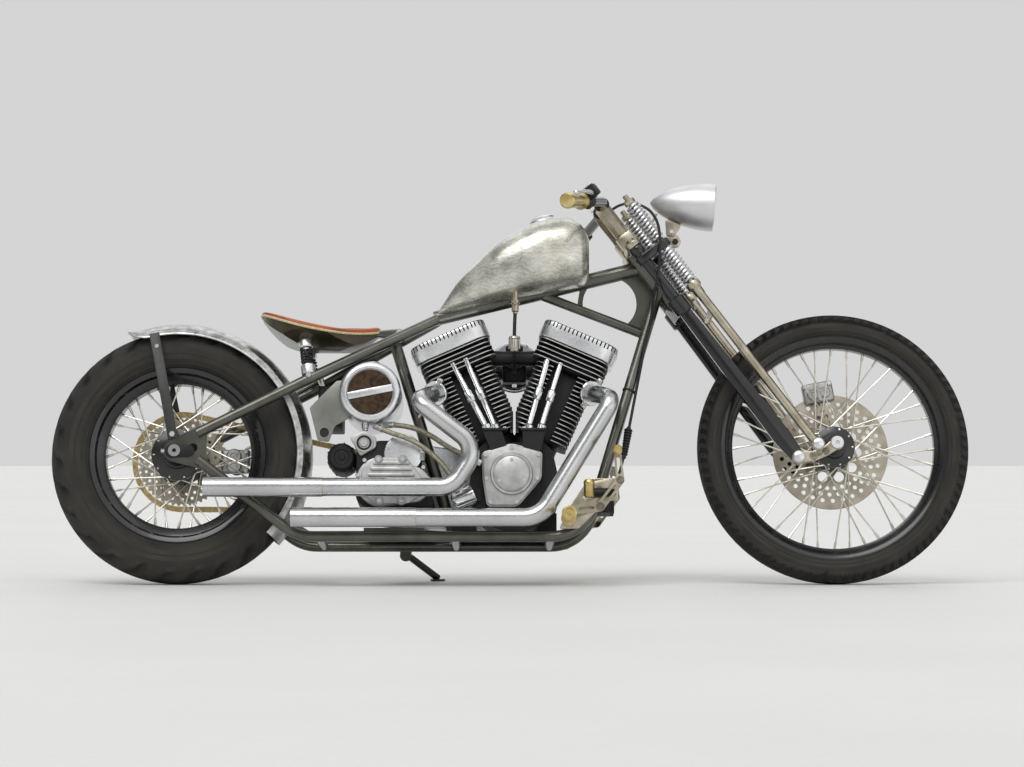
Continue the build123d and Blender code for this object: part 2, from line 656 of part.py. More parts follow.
def rocker_box(hand):
    """Polished cover with a stepped edge and a row of slots along its right top edge."""
    base = RectangleRounded(BOX_LENGTH, BOX_WIDTH, 40)
    low = Pos(0, 0, HEAD_TOP) * rise(base, BOX_HEIGHT * 0.36)
    high = Pos(0, 0, HEAD_TOP) * rise(offset(base, -5), BOX_HEIGHT)
    high = chamfer(high.faces().sort_by(Axis.Z)[-1].edges(), 5)
    slots = [Pos(x, -BOX_WIDTH / 2 + 4, HEAD_TOP + BOX_HEIGHT) * Box(9, 16, 18) for x in range(-60, 61, 20)]
    return bank_plane(hand) * (low + high - slots)


CAM_COVER = [(835, 340), (912, 319), (909, 250), (850, 181), (774, 181), (763, 250), (760, 317)]


def cam_cover():
    """Flat cover with the round points cover and its screws."""
    plate = slab(outline(*CAM_COVER, radius=9), -126, -CASE_HALF - GAP)
    plate -= [slab(outline(*block), -130, -80) for block in LIFTERS]
    disc = rod((835, -125, 262), (835, -133, 262), 53) + rod((835, -133, 262), (835, -136, 262), 44)
    screws = [rod((x * 0.93 + 58.5, -125, z * 0.93 + 18.3), (x * 0.93 + 58.5, -129, z * 0.93 + 18.3), 5)
              for x, z in CAM_COVER]
    return plate + disc + screws


INTAKE_Z = 572.0


def carburettor(cylinders):
    """Manifold between the heads and the carburettor on the left."""
    x = CRANK[0]
    manifold = rod((x - 62, 0, INTAKE_Z), (x + 62, 0, INTAKE_Z), 19)
    body = rod((x, -8, INTAKE_Z), (x, 112, INTAKE_Z), 24) + Pos(x, 62, INTAKE_Z - 30) * Box(44, 52, 46)
    return biggest(manifold + body - cylinders)


def air_cleaner():
    shell = rod((CRANK[0], 112 + GAP, INTAKE_Z), (CRANK[0], 158, INTAKE_Z), 64)
    return chamfer(shell.edges().sort_by(Axis.Y)[-1:], 12)


def transmission():
    """Gearbox case with its top cover, feet and the pentagon cap's boss."""
    case = slab(outline((448, 205), (468, 186), (646, 186), (626, 250), (598, 338), (584, 352), (500, 352),
                        (448, 326)), -80, GEARBOX_HALF)
    top = RAIL_Z + RAIL_R + 8 + GAP
    for x in (495, 595):
        case += Pos(x, 0, (top + 190) / 2) * Box(40, 110, 190 - top)
    cap = slab(Pos(468, 345) * RegularPolygon(31, 5), -86, -30)
    return case + cap + rod((468, -86, 345), (468, -96, 345), 11)


def transmission_cover():
    """Oval side cover with a stepped face."""
    plate = slab(hull((510, 247, 62), (588, 240, 46)), -100, -80 - GAP)
    return plate + slab(hull((510, 247, 52), (588, 240, 36)), -112, -99)


def starter():
    body = rod((411, -62, 313), (411, 64, 313), 36) + rod((411, -70, 313), (411, -61, 313), 24)
    return body + Pos(440, 0, 300) * Box(30, 60, 30) - transmission()


def primary_cover():
    """Closed chaincase on the left with two raised discs."""
    face = hull((CRANK[0], CRANK[1], 102), (560, 262, 114))
    solid = slab(face, PRIMARY_IN, 150) + slab(hull((CRANK[0], CRANK[1], 88), (560, 262, 100)), 149, 162)
    return solid + rod((560, 161, 262), (560, 170, 262), 74) + rod((CRANK[0], 161, CRANK[1]), (CRANK[0], 168, CRANK[1]), 40)


def oil_filter():
    return rod(*OIL_FILTER, 24)


# Exhaust: bend points, bend radii and where the end sleeve starts
EXHAUST = {
    "rear": dict(points=[(652, -62, 476), (600, PIPE_Y, 440), (752, PIPE_Y, 322), (690, PIPE_Y, 224),
                         (77, PIPE_Y, 224)], bends=[27, 55, 55], sleeve=370),
    "front": dict(points=[(1026, -62, 476), (1086, PIPE_Y, 444), (905, PIPE_Y, 149), (293, PIPE_Y, 149)],
                  bends=[28, 70], sleeve=600),
}


def exhaust_path(points, radius, bends, wall):
    """Tube with a bend radius of its own at each corner."""
    path = bent_path(points, bends)
    ring = Circle(radius) - Circle(radius - wall) if wall else Circle(radius)
    return sweep(Plane(origin=path @ 0, z_dir=path % 0) * ring, path)


def bent_path(points, bends):
    """Straight runs joined by arcs, each corner with its own radius."""
    points = [Vector(*point) for point in points]
    edges = []
    here = points[0]
    for before, corner, after, radius in zip(points, points[1:], points[2:], bends):
        into, out = (corner - before).normalized(), (after - corner).normalized()
        half = radians(into.get_angle(out)) / 2
        start, end = corner - into * radius * tan(half), corner + out * radius * tan(half)
        middle = corner + (out - into).normalized() * (radius / cos(half) - radius)
        edges += [Line(here, start), ThreePointArc(start, middle, end)]
        here = end
    return Wire(edges + [Line(here, points[-1])])


def exhaust(name):
    e = EXHAUST[name]
    pipe = exhaust_path(e["points"], PIPE_R, e["bends"], PIPE_WALL)
    end = Vector(*e["points"][-1])
    start = Vector(e["sleeve"], end.Y, end.Z)
    return pipe + (rod(start, end, PIPE_R + SLEEVE_WALL) - rod(start, end, PIPE_R - PIPE_WALL))


def exhaust_relief(name):
    e = EXHAUST[name]
    return exhaust_path(e["points"], PIPE_R + GAP, e["bends"], 0)


# Oil tank, electrics and hoses
OIL_TANK = (483.0, 470.0)
OIL_R = 77.0
OIL_HALF = 108.0


def oil_tank(crossmembers):
    """Drum across the frame with a ringed end and a lug on the seat post."""
    x, z = OIL_TANK
    drum = turned((-OIL_HALF, 0), (-OIL_HALF, 56), (-OIL_HALF - 5, 58), (-OIL_HALF - 5, 70), (-OIL_HALF, OIL_R),
                  (OIL_HALF, OIL_R), (OIL_HALF + 5, 70), (OIL_HALF + 5, 58), (OIL_HALF, 56), (OIL_HALF, 0))
    drum = Pos(x, 0, z) * drum
    return drum + Pos(x + OIL_R - 4, 0, z) * Box(48, 40, 36) - rod((POST_TOP[0], 0, stay_at(POST_TOP[0])[1]),
                                                              (POST_FOOT_X, 0, RAIL_Z), POST_R + GAP)


def battery_box():
    """Closed box between the fender and the oil tank."""
    return Pos(382, 0, 440) * Box(62, 150, 104) - Pos(OIL_TANK[0], 0, OIL_TANK[1]) * Rot(90, 0, 0) * Cylinder(
        OIL_R + GAP, 400)


def side_plate():
    """Bent-edge plate on the box, with its hole."""
    face = outline((331, 435), (402, 507), (403, 400), (412, 387), (382, 348), (352, 352), radius=5)
    return slab(face - Pos(368, 372) * Circle(12), -80, -75 - GAP)


def oil_hoses():
    first = tube([(520, -70, 392), (580, -98, 366), (690, -106, 326), (757, -106, 292)], 6.5, 60)
    second = tube([(496, -92, 386), (520, -124, 352), (630, -128, 300), (712, -118, 216)], 6.5, 40)
    keep = Pos(OIL_TANK[0], 0, OIL_TANK[1]) * Rot(90, 0, 0) * Cylinder(OIL_R + GAP, 400)
    filter_room = rod(*OIL_FILTER, 24 + GAP)
    return Compound([biggest(first - keep), biggest(second - keep - filter_room)])


# Forward controls
CONTROL_PLATE = [(952, 124), (1000, 124), (1062, 186), (1102, 236), (1078, 250), (1016, 236), (974, 172)]
PEDAL = [(985, 166, 12), (1052, 174, 11), (1102, 240, 10), (1095, 312, 9)]
PEG_AT = (974.0, 141.0)


def control_bracket(cradle):
    """Right plate on a boss at the downtube, with the stub that carries the peg."""
    x, y = downtube_at(206)
    plate = slab(outline(*CONTROL_PLATE, radius=6), -142, -134)
    boss = rod((x, y, 206), (x, -135, 206), 13)
    stub = rod((PEG_AT[0], -141, PEG_AT[1]), (PEG_AT[0], -199.7, PEG_AT[1]), 9)
    return biggest(plate + boss + stub - cradle)


def control_arm():
    """Right slotted pedal arm on its pivot boss."""
    face = hull(PEDAL[0], PEDAL[1]) + hull(PEDAL[1], PEDAL[2]) + hull(PEDAL[2], PEDAL[3])
    face -= Pos(1018, 170) * Rot(0, 0, 6.8) * SlotOverall(44, 9)
    return slab(face, -178, -170) + rod((985, -142 - GAP, 166), (985, -171, 166), 9)


def peg():
    x, z = PEG_AT
    body = rod((x, -200, z), (x, -332, z), 15)
    for y in range(-326, -214, 20):
        body += rod((x, y, z), (x, y + 10, z), 18)
    return body


def pedal_tip():
    x, z, _ = PEDAL[3]
    return rod((x, -178 - GAP, z), (x, -214, z), 11)


def brake_master():
    """Master cylinder on the bracket with its reservoir."""
    return rod((1030, -153.5, 212), (1092, -153.5, 212), 11) + rod((1052, -153.5, 216), (1052, -153.5, 262), 13)


def regulator(crossmembers):
    x, _ = downtube_at(206)
    body = Pos(x + 26, 0, 206) * Box(34, 92, 60)
    for y in range(-40, 41, 10):
        body -= Pos(x + 42, y, 206) * Box(16, 5, 62)
    return body - rod((x, -60, 206), (x, 60, 206), 10 + GAP)


# Springer fork, drawn in the steering frame

def rigid_fork():
    """Two blades with the yoke, stem, upper posts and the spring bridge."""
    blade = outline((-16, -12), (16, -12), (23, 62), (15, YOKE_S), (-15, YOKE_S), (-23, 62), radius=5)
    legs = []
    for side in (-1, 1):
        y = side * LEG_Y
        leg = slab(blade, y - 10, y + 11.7) if side > 0 else slab(blade, y - 11.7, y + 10)
        leg += rod((0, y - 15, 0), (0, y + 15, 0), 17) & Pos(0, y, 0) * Box(60, 21, 60)
        leg += rod((0, y, YOKE_S - 24), (0, y, YOKE_TOP), 23) + rod((0, y, YOKE_S), (0, y, TREE_S + TREE_T + 6), 14)
        leg += Pos(0, 0, BRIDGE_S) * rise(hull((0, y, 21), (SPRING_T, y, 21)), BRIDGE_H)
        legs.append(leg - rod((SPRING_T, y, 0), (SPRING_T, y, 900), 7.6))
    yoke = Pos(0, 0, YOKE_S - 20) * rise(hull((0, -LEG_Y, 15), (0, 0, 28)) + hull((0, 0, 28), (0, LEG_Y, 15)),
                                         YOKE_TOP - YOKE_S + 20)
    stem = rod((0, 0, YOKE_S), (0, 0, TREE_S + TREE_T + 8), STEM_R)
    beam = Pos(SPRING_T, 0, BRIDGE_S + BRIDGE_H / 2) * Box(30, 2 * LEG_Y - 30, BRIDGE_H)
    return FORK * (yoke + stem + beam + legs)


def top_tree():
    face = hull((0, -LEG_Y, 23), (0, 0, 30)) + hull((0, 0, 30), (0, LEG_Y, 23))
    holes = [Pos(0, y) * Circle(14 + GAP) for y in (-LEG_Y, 0, LEG_Y)]
    return FORK * (Pos(0, 0, TREE_S) * rise(face - holes, TREE_T))


def spring_fork():
    """Two tubes from the rockers to their collars, with a brace and the rods that carry the springs."""
    legs = []
    for y in (-LEG_Y, LEG_Y):
        leg = rod((SPRING_T, y, 4), (SPRING_T, y, COLLAR_S - 16), 11.5)
        leg += rod((SPRING_T, y, COLLAR_S - 17), (SPRING_T, y, COLLAR_S), 19)
        leg += rod((SPRING_T, y, COLLAR_S - 1), (SPRING_T, y, ROD_TOP_S), 7)
        leg += rod((SPRING_T, y, ROD_TOP_S - 14), (SPRING_T, y, ROD_TOP_S), 15)
        leg += rod((SPRING_T, y - 14, -3), (SPRING_T, y + 14, -3), 15) & Pos(SPRING_T, y, 0) * Box(60, 22.8, 60)
        legs.append(leg)
    brace = rod((SPRING_T, -LEG_Y, 428), (SPRING_T, LEG_Y, 428), 9)
    return FORK * (brace + legs)


def fork_springs():
    coils = []
    for y in (-LEG_Y, LEG_Y):
        for low, high in ((COLLAR_S + GAP, BRIDGE_S - GAP), (BRIDGE_S + BRIDGE_H + GAP, ROD_TOP_S - 14 - GAP)):
            coils.append(Pos(SPRING_T, y, low) * spring_unit(high - low, SPRING_R, 11, 7))
    return FORK * Compound(coils)


def rockers():
    """Link plates outside the legs with their pivot caps."""
    plates = []
    for side in (-1, 1):
        face = hull((0, 0, 18), (SPRING_T, -3, 17), (AXLE_T, AXLE_S, 18)) - Pos(AXLE_T, AXLE_S) * Circle(AXLE_R + 0.1)
        low, high = sorted((side * 104, side * 116))
        plate = slab(face, low, high)
        for t, s in ((0, 0), (SPRING_T, -3)):
            plate += rod((t, side * 115, s), (t, side * 121, s), 12)
        plates.append(plate)
    return FORK * Compound(plates)


def risers():
    blocks = []
    for y in (-45, 45):
        low = TREE_S + TREE_T + GAP
        block = Pos(0, y, (low + BAR_S + 18) / 2) * Box(38, 30, BAR_S + 18 - low)
        block = chamfer(block.edges().filter_by(Axis.Z), 7)
        blocks.append(block - rod((5, y - 20, BAR_S), (5, y + 20, BAR_S), BAR_R + 0.1))
    return FORK * Compound(blocks)


BAR_KNEE = (5.0, 92.0, BAR_S)
BAR_END = (-107.0, 384.0, BAR_S + 8)


def bar_line():
    """The right arm of the bar: its end and the direction that leads out of it."""
    end = Vector(BAR_END[0], -BAR_END[1], BAR_END[2])
    knee = Vector(BAR_KNEE[0], -BAR_KNEE[1], BAR_KNEE[2])
    return end, (end - knee).normalized()


def handlebar():
    (kt, ky, ks), (et, ey, es) = BAR_KNEE, BAR_END
    out = bar_line()[1]
    near = Vector(et, -ey, es) - out * 5
    far = Vector(near.X, -near.Y, near.Z)
    return FORK * tube([near, (kt, -ky, ks), (kt, ky, ks), far], BAR_R, 45)


def grip():
    """Right grip, waisted, over the end of the bar."""
    end, out = bar_line()
    n = GRIP_LENGTH
    face = Polygon((BAR_R + 0.1, 0), (21, 0), (22, 9), (16, 22), (17.5, n * 0.55), (16, n - 22), (20, n - 9), (18, n),
                   (0, n), (0, n - 4), (BAR_R + 0.1, n - 4), align=None)
    return FORK * (Plane(origin=end - out * n, z_dir=out) * revolve(Plane.XZ * face, Axis.Z))


def lever():
    """Right perch clamped inboard of the grip, and its blade ahead of the grip."""
    end, out = bar_line()
    place = Plane(origin=end - out * (GRIP_LENGTH + 21), x_dir=(0, 0, 1), z_dir=out)
    perch = place * (Pos(0, -8, 0) * Box(30, 50, 34))
    blade = place * (Pos(0, -34, 78) * Box(8, 14, 150))
    knob = place * (Pos(0, -34, 153) * Rot(90, 0, 0) * Cylinder(8, 14))
    return FORK * (perch + blade + knob - rod(end - out * 220, end, BAR_R + 0.1))


LAMP_DROP = 4.6
LAMP_LENGTH = 164.0
LAMP_R = 61.0


def lamp_plane():
    x, z = LAMP_TIP
    return Plane(origin=(x, 0, z), x_dir=(0, 1, 0), z_dir=(cos(radians(LAMP_DROP)), 0, -sin(radians(LAMP_DROP))))


def headlight_shell():
    """Bullet with an open front."""
    n, r = LAMP_LENGTH, LAMP_R
    edges = [Line((0, 0), (7, 0)), ThreePointArc((7, 0), (r * 0.72, n * 0.38), (r - 1, n * 0.9)),
             Line((r - 1, n * 0.9), (r, n)), Line((r, n), (r - 3, n)), Line((r - 3, n), (r - 3.5, n * 0.9)),
             ThreePointArc((r - 3.5, n * 0.9), (r * 0.68, n * 0.42), (6, 12)), Line((6, 12), (0, 12)),
             Line((0, 12), (0, 0))]
    return lamp_plane() * revolve(Plane.XZ * make_face(edges), Axis.Z)


def headlight_lens():
    n, r = LAMP_LENGTH, LAMP_R
    return lamp_plane() * (Pos(0, 0, n * 0.94) * Cone(r - 3.8, r - 3.6, 6) + Pos(0, 0, n * 0.94 + 3) * Cone(
        r - 8, r - 22, 5, align=(Align.CENTER, Align.CENTER, Align.MIN)))


def headlight_bracket(shell, fork):
    x, z = LAMP_TIP
    arm = slab(hull((x + 63, z - 62, 15), (x + 89, z - 106, 12)), -10, 10)
    arm += slab(hull((x + 89, z - 106, 12), (x + 39, z - 112, 13)), -10, 10)
    solid = arm + rod((x + 89, -16, z - 106), (x + 89, 16, z - 106), 9)
    solid += slab(outline((x + 49, z - 69), (x + 49, z - 34), (x + 85, z - 34), (x + 79, z - 69)), -12, 12)
    room = lamp_plane() * (Pos(0, 0, LAMP_LENGTH * 0.55) * Cylinder(LAMP_R * 0.72, LAMP_LENGTH * 0.6))
    return biggest(solid - shell - fork - room)


# Side stand

def stand_frame():
    """Pivot, foot direction at rest and the swing axis, in the upright bike's frame."""
    pivot = Vector(*STAND_PIVOT)
    foot = Vector(STAND_FOOT[0], STAND_FOOT[1], STAND_FOOT[1] * tan(radians(LEAN)))
    down = (foot - pivot).normalized()
    stowed = Vector(-1, 0.05, 0.02).normalized()
    return pivot, foot, down.cross(stowed).normalized()


def side_stand():
    """Leg with its eye and flat foot."""
    pivot, foot, axis = stand_frame()
    pad = Pos(foot.X, foot.Y, foot.Z) * Rot(LEAN, 0, 0) * Pos(0, 0, 3) * (Cylinder(19, 6))
    leg = rod(pivot, foot + Vector(0, 0, 8), STAND_R)
    eye = rod(pivot - axis * 9, pivot + axis * 9, 15) - rod(pivot - axis * 20, pivot + axis * 20, 6.1)
    leg -= rod(pivot - axis * 20, pivot + axis * 20, 8)
    return biggest(leg + eye + pad - Pos(foot.X, foot.Y, foot.Z) * Rot(LEAN, 0, 0) * Pos(0, 0, -20) * Box(120, 120, 40))


def stand_bracket(cradle):
    """Cheek on the left rail with the pin that the stand turns on."""
    pivot, _, axis = stand_frame()
    toward = Vector(pivot.X, RAIL_Y, RAIL_Z) - pivot
    toward -= axis * toward.dot(axis)
    cheek = Plane(origin=pivot - axis * 14, x_dir=toward, z_dir=axis)
    plate = cheek * rise(hull((0, 0, 13), (toward.length, 0, 14)), 4)
    pin = rod(pivot - axis * 13, pivot + axis * 13, 6) + rod(pivot + axis * 10.2, pivot + axis * 13.5, 11)
    return biggest(plate + pin - cradle)


# Assembly

def build():
    """All pieces of the upright bike by node name; like pieces on one body share a node."""
    p = {}
    backbone = frame_backbone()
    right = frame_cradle(backbone)
    left = mirror(right, Plane.XZ)
    stay = frame_stay(right, backbone)
    stays = both_sides(stay)
    crossmembers = frame_crossmembers([right, left, *stays])
    p["frame_backbone"] = backbone
    p["frame_cradle_right"] = right
    p["frame_cradle_left"] = left
    p["frame_stays"] = Compound(stays)
    p["frame_crossmembers"] = Compound([*crossmembers.solids(), stand_bracket(left)])
    for name, w in WHEELS.items():
        p[name + "_tyre"] = AXLES[name] * tyre(w)
        p[name + "_wheel"] = AXLES[name] * Compound([rim(w), hub(w, BOSS_R[name])])
        p[name + "_spokes"] = AXLES[name] * spokes(w)
    p["front_disc"] = AXLES["front"] * front_disc()
    p["rear_sprocket"] = AXLES["rear"] * rear_sprocket()
    w = WHEELS["rear"]
    p["rear_axle"] = AXLES["rear"] * axle(128, w["hub_right"], w["hub_left"], PLATE_IN - GAP)
    w = WHEELS["front"]
    p["front_axle"] = AXLES["front"] * axle(127, w["hub_right"], w["hub_left"], 104 - GAP)
    p["drive_chain"] = drive_chain()
    p["rear_caliper"] = rear_caliper()
    p["front_caliper"] = front_caliper()
    fender = rear_fender()
    p["rear_fender"] = Compound([fender, *both_sides(fender_strut(fender, right))])
    p["seat_pad"] = seat_pad()
    p["seat_pan"] = seat_pan()
    p["seat_mounts"] = Compound([seat_bracket(p["seat_pan"], crossmembers),
                                 *both_sides(seat_shock(p["seat_pan"], stay))])
    p["fuel_tank"] = fuel_tank(backbone)
    p["crankcase"] = crankcase()
    cylinders = [cylinder(hand, exhaust_relief(name)) for name, hand in BANKS.items()]
    p["cylinders"] = Compound(cylinders)
    p["rocker_boxes"] = Compound([rocker_box(hand) for hand in BANKS.values()])
    p["exhaust_pipes"] = Compound([exhaust(name) for name in BANKS])
    p["pushrod_tubes"] = pushrod_tubes()
    p["cam_cover"] = cam_cover()
    intake = carburettor(cylinders)
    p["intake"] = Compound([intake, air_cleaner()])
    p["fuel_fittings"] = Compound([fuel_cap(p["fuel_tank"]), biggest(petcock(p["fuel_tank"]) - intake)])
    p["transmission"] = Compound([transmission(), transmission_cover(), gearbox_sprocket()])
    p["starter"] = starter()
    p["primary_cover"] = primary_cover()
    p["oil_tank"] = oil_tank(crossmembers)
    p["oil_lines"] = Compound([oil_filter(), *oil_hoses().solids()])
    p["electrics"] = Compound([battery_box(), side_plate(), regulator(crossmembers)])
    bracket = control_bracket(right)
    p["forward_controls"] = Compound([bracket + brake_master(), mirror(bracket, Plane.XZ), *both_sides(control_arm())])
    p["control_brass"] = Compound(both_sides(peg()) + both_sides(pedal_tip()))
    p["rigid_fork"] = rigid_fork()
    p["top_tree"] = Compound([top_tree(), *risers().solids()])
    p["spring_fork"] = spring_fork()
    p["fork_springs"] = fork_springs()
    p["rockers"] = rockers()
    p["handlebar"] = handlebar()
    p["grips"] = Compound(both_sides(grip()))
    p["levers"] = Compound(both_sides(lever()))
    p["headlight_shell"] = headlight_shell()
    p["headlight_lens"] = headlight_lens()
    p["headlight_bracket"] = headlight_bracket(p["headlight_shell"], p["rigid_fork"])
    p["side_stand"] = side_stand()
    return p


def parked(pieces):
    """Lean every piece onto the stand and centre the footprint on the origin."""
    leaned = {name: Rot(-LEAN, 0, 0) * piece for name, piece in pieces.items()}
    boxes = [piece.bounding_box() for piece in leaned.values()]
    middle_x = (min(b.min.X for b in boxes) + max(b.max.X for b in boxes)) / 2
    middle_y = (min(b.min.Y for b in boxes) + max(b.max.Y for b in boxes)) / 2
    shift = Pos(-middle_x, -middle_y, 0)
    return {name: shift * piece for name, piece in leaned.items()}, shift


if __name__ == "__main__":
    os.makedirs("parts", exist_ok=True)
    placed, _ = parked(build())
    for name, piece in placed.items():
        export_step(piece, f"parts/{name}.step")
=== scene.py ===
import bpy
import bmesh
from math import asin, atan2, cos, degrees, pi, radians, sin, sqrt
from mathutils import Matrix, Vector


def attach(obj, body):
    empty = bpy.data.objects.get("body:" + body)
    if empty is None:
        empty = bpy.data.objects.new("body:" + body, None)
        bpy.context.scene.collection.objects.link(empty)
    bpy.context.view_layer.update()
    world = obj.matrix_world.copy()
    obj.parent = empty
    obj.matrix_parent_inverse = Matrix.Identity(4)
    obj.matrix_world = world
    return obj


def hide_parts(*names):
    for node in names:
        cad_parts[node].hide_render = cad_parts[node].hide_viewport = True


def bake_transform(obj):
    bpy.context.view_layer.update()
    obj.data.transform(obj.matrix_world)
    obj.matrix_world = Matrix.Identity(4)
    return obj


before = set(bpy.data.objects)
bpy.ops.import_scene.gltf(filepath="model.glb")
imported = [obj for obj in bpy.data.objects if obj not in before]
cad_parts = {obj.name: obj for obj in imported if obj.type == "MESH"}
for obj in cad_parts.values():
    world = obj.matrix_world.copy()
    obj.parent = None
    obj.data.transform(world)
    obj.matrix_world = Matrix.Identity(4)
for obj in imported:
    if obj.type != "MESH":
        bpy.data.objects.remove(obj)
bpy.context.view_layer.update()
scene = bpy.context.scene
scene.view_settings.view_transform = "Standard"
print("frame loaded:", len(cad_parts), "nodes")

# The bike is drawn upright in millimetres, X forward from the rear axle, and one matrix leans it over.
stance = {"lean": 8.0, "shift": (-831.5, -111.13, 0.0), "rake": 37.0, "rockerPivot": (1547.08, 0.0, 306.27),
          "rearAxle": (0.0, 0.0, 320.77), "frontAxle": (1642.0, 0.0, 341.49)}


def at(x, y, z):
    return Matrix.Translation((x, y, z))


def turnBy(angle, axis):
    return Matrix.Rotation(radians(angle), 4, axis)


def along(start, end):  # local z runs from start towards end
    start = Vector(start)
    return Matrix.Translation(start) @ (Vector(end) - start).to_track_quat("Z", "Y").to_matrix().to_4x4()


def span(start, end):
    return (Vector(end) - Vector(start)).length


def ray(angle):
    return Vector((cos(angle), sin(angle)))


def onCircle(radius, angle, y):
    x, z = radius * ray(radians(angle))
    return Vector((x, y, z))


bike = Matrix.Scale(0.001, 4) @ at(*stance["shift"]) @ turnBy(-stance["lean"], "X")
# t forward, y left, s up the steering axis
fork = bike @ at(*stance["rockerPivot"]) @ turnBy(-stance["rake"], "Y")
rearAxle = bike @ at(*stance["rearAxle"])
frontAxle = bike @ at(*stance["frontAxle"])
# a shape drawn in x and y stands in x and z, its local z pointing to the right of the bike, or to the left
sideOn, leftOn = turnBy(90, "X"), turnBy(-90, "X")
outward = {1: leftOn, -1: sideOn}
mirrored = Matrix.Diagonal((1, 1, -1, 1))
axleHeight = stance["rearAxle"][2]


# materials

def hexColour(text):
    parts = [int(text[k:k + 2], 16) / 255 for k in (1, 3, 5)]
    return tuple(c / 12.92 if c <= 0.04045 else ((c + 0.055) / 1.055) ** 2.4 for c in parts) + (1.0,)


def addNode(tree, kind, inputs=(), **settings):
    node = tree.nodes.new(kind)
    for key, value in settings.items():
        setattr(node, key, value)
    for key, value in dict(inputs).items():
        if isinstance(value, bpy.types.NodeSocket):
            tree.links.new(value, node.inputs[key])
        else:
            node.inputs[key].default_value = value
    return node


def finish(name, tones, blotch, rough, metallic=1.0, grain=1.2, stretch=(1, 1, 1), bump=0.0,
           contrast=(0.35, 0.65), **fixed):
    # two tones mixed by a cloud of blotch mm; a stretched grain of grain mm moves roughness and relief
    material = bpy.data.materials.new(name)
    material.use_nodes = True
    tree = material.node_tree
    shader = tree.nodes["Principled BSDF"]
    shader.inputs["Metallic"].default_value = metallic
    for key, value in fixed.items():
        shader.inputs[key].default_value = value
    spot = addNode(tree, "ShaderNodeTexCoord")
    cloud = addNode(tree, "ShaderNodeTexNoise", {"Vector": spot.outputs["Object"], "Scale": 1000 / blotch,
                                                 "Detail": 5.0})
    ramp = addNode(tree, "ShaderNodeValToRGB", {"Fac": cloud.outputs[0]})
    for stop, place, tone in zip(ramp.color_ramp.elements, contrast, tones):
        stop.position, stop.color = place, hexColour(tone)
    tree.links.new(ramp.outputs["Color"], shader.inputs["Base Color"])
    lay = addNode(tree, "ShaderNodeMapping", {"Vector": spot.outputs["Object"], "Scale": stretch})
    fine = addNode(tree, "ShaderNodeTexNoise", {"Vector": lay.outputs[0], "Scale": 1000 / grain,
                                                "Detail": 3.0})
    sheen = addNode(tree, "ShaderNodeMapRange", {"Value": fine.outputs[0], "From Min": 0.3, "From Max": 0.7,
                                                 "To Min": rough[0], "To Max": rough[1]})
    tree.links.new(sheen.outputs[0], shader.inputs["Roughness"])
    if bump:
        relief = addNode(tree, "ShaderNodeBump", {"Height": fine.outputs[0], "Strength": bump,
                                                  "Distance": 0.001})
        tree.links.new(relief.outputs[0], shader.inputs["Normal"])
    return material


def opened(material):
    tree = material.node_tree
    return tree, tree.nodes["Principled BSDF"], addNode(tree, "ShaderNodeTexCoord")


# metallic paint over welded tube: olive grey flake under clear coat
framePaint = finish("olive_metallic_paint", ("#4e4e46", "#62615a"), 60, (0.24, 0.36), metallic=0.8, grain=0.6,
                    **{"Coat Weight": 0.6, "Coat Roughness": 0.12})
# sprayed and polished black enamel, a little dust in its sheen
blackPaint = finish("black_enamel", ("#08080a", "#0f0f10"), 45, (0.12, 0.26), metallic=0.0, grain=2.5,
                    **{"Coat Weight": 0.5, "Coat Roughness": 0.06})
# wrinkle and satin black on cast engine pieces
blackCast = finish("black_wrinkle_casting", ("#080809", "#131314"), 18, (0.45, 0.65), metallic=0.2, grain=1.4,
                   bump=0.35)
# moulded tyre rubber, dry and dusty where it bulges
tyreRubber = finish("tyre_rubber", ("#2a2928", "#363430"), 70, (0.72, 0.9), metallic=0.0, grain=1.6,
                    bump=0.25, **{"Specular IOR Level": 0.3})
# the same rubber where road dust has browned the sidewall
dustyRubber = finish("dusty_tyre_rubber", ("#2e2d2a", "#393731"), 90, (0.75, 0.92), metallic=0.0, grain=1.6,
                     bump=0.2, **{"Specular IOR Level": 0.3})
# black oven-cured paint on the rims and hubs
rimPaint = finish("black_rim_enamel", ("#0a0a0b", "#161617"), 40, (0.2, 0.34), metallic=0.0, grain=2.0,
                  **{"Coat Weight": 0.4, "Coat Roughness": 0.1})
# drawn stainless wire and its plated nipples
stainlessWire = finish("drawn_stainless", ("#c9c4b8", "#e2ded4"), 25, (0.2, 0.34), grain=0.8)
# ground stainless plate of the brake discs: fine circular marks, warm tint
discSteel = finish("ground_stainless", ("#aba292", "#c6beae"), 35, (0.3, 0.46), grain=0.9, bump=0.12)
# brushed stainless exhaust tube, drawn lengthwise along the bike
pipeSteel = finish("brushed_exhaust_steel", ("#bfc0c1", "#cfd0d0"), 120, (0.22, 0.3), grain=0.8,
                   stretch=(0.05, 1, 1), bump=0.02)
# raw sheet aluminium of the fender, hand finished: cloudy planishing marks
rawAluminium = finish("raw_sheet_aluminium", ("#a2a3a0", "#e2e3e1"), 22, (0.24, 0.46), grain=5.0, bump=0.22,
                      stretch=(0.3, 1, 1), contrast=(0.3, 0.72))
# spun aluminium of the headlight, satin
spunAluminium = finish("spun_aluminium", ("#d3d4d5", "#e4e5e6"), 70, (0.4, 0.48), grain=0.7,
                       stretch=(1, 0.1, 0.1), bump=0.05)
# bead-blasted cast aluminium covers
castAluminium = finish("blasted_cast_aluminium", ("#a9aaa8", "#c4c5c3"), 30, (0.36, 0.52), grain=0.9,
                       bump=0.15)
# hand polished aluminium covers: soft, wide lights
polishedAluminium = finish("polished_aluminium", ("#d3d4d6", "#e8e9ea"), 50, (0.24, 0.36), grain=1.5,
                           stretch=(0.2, 1, 1))
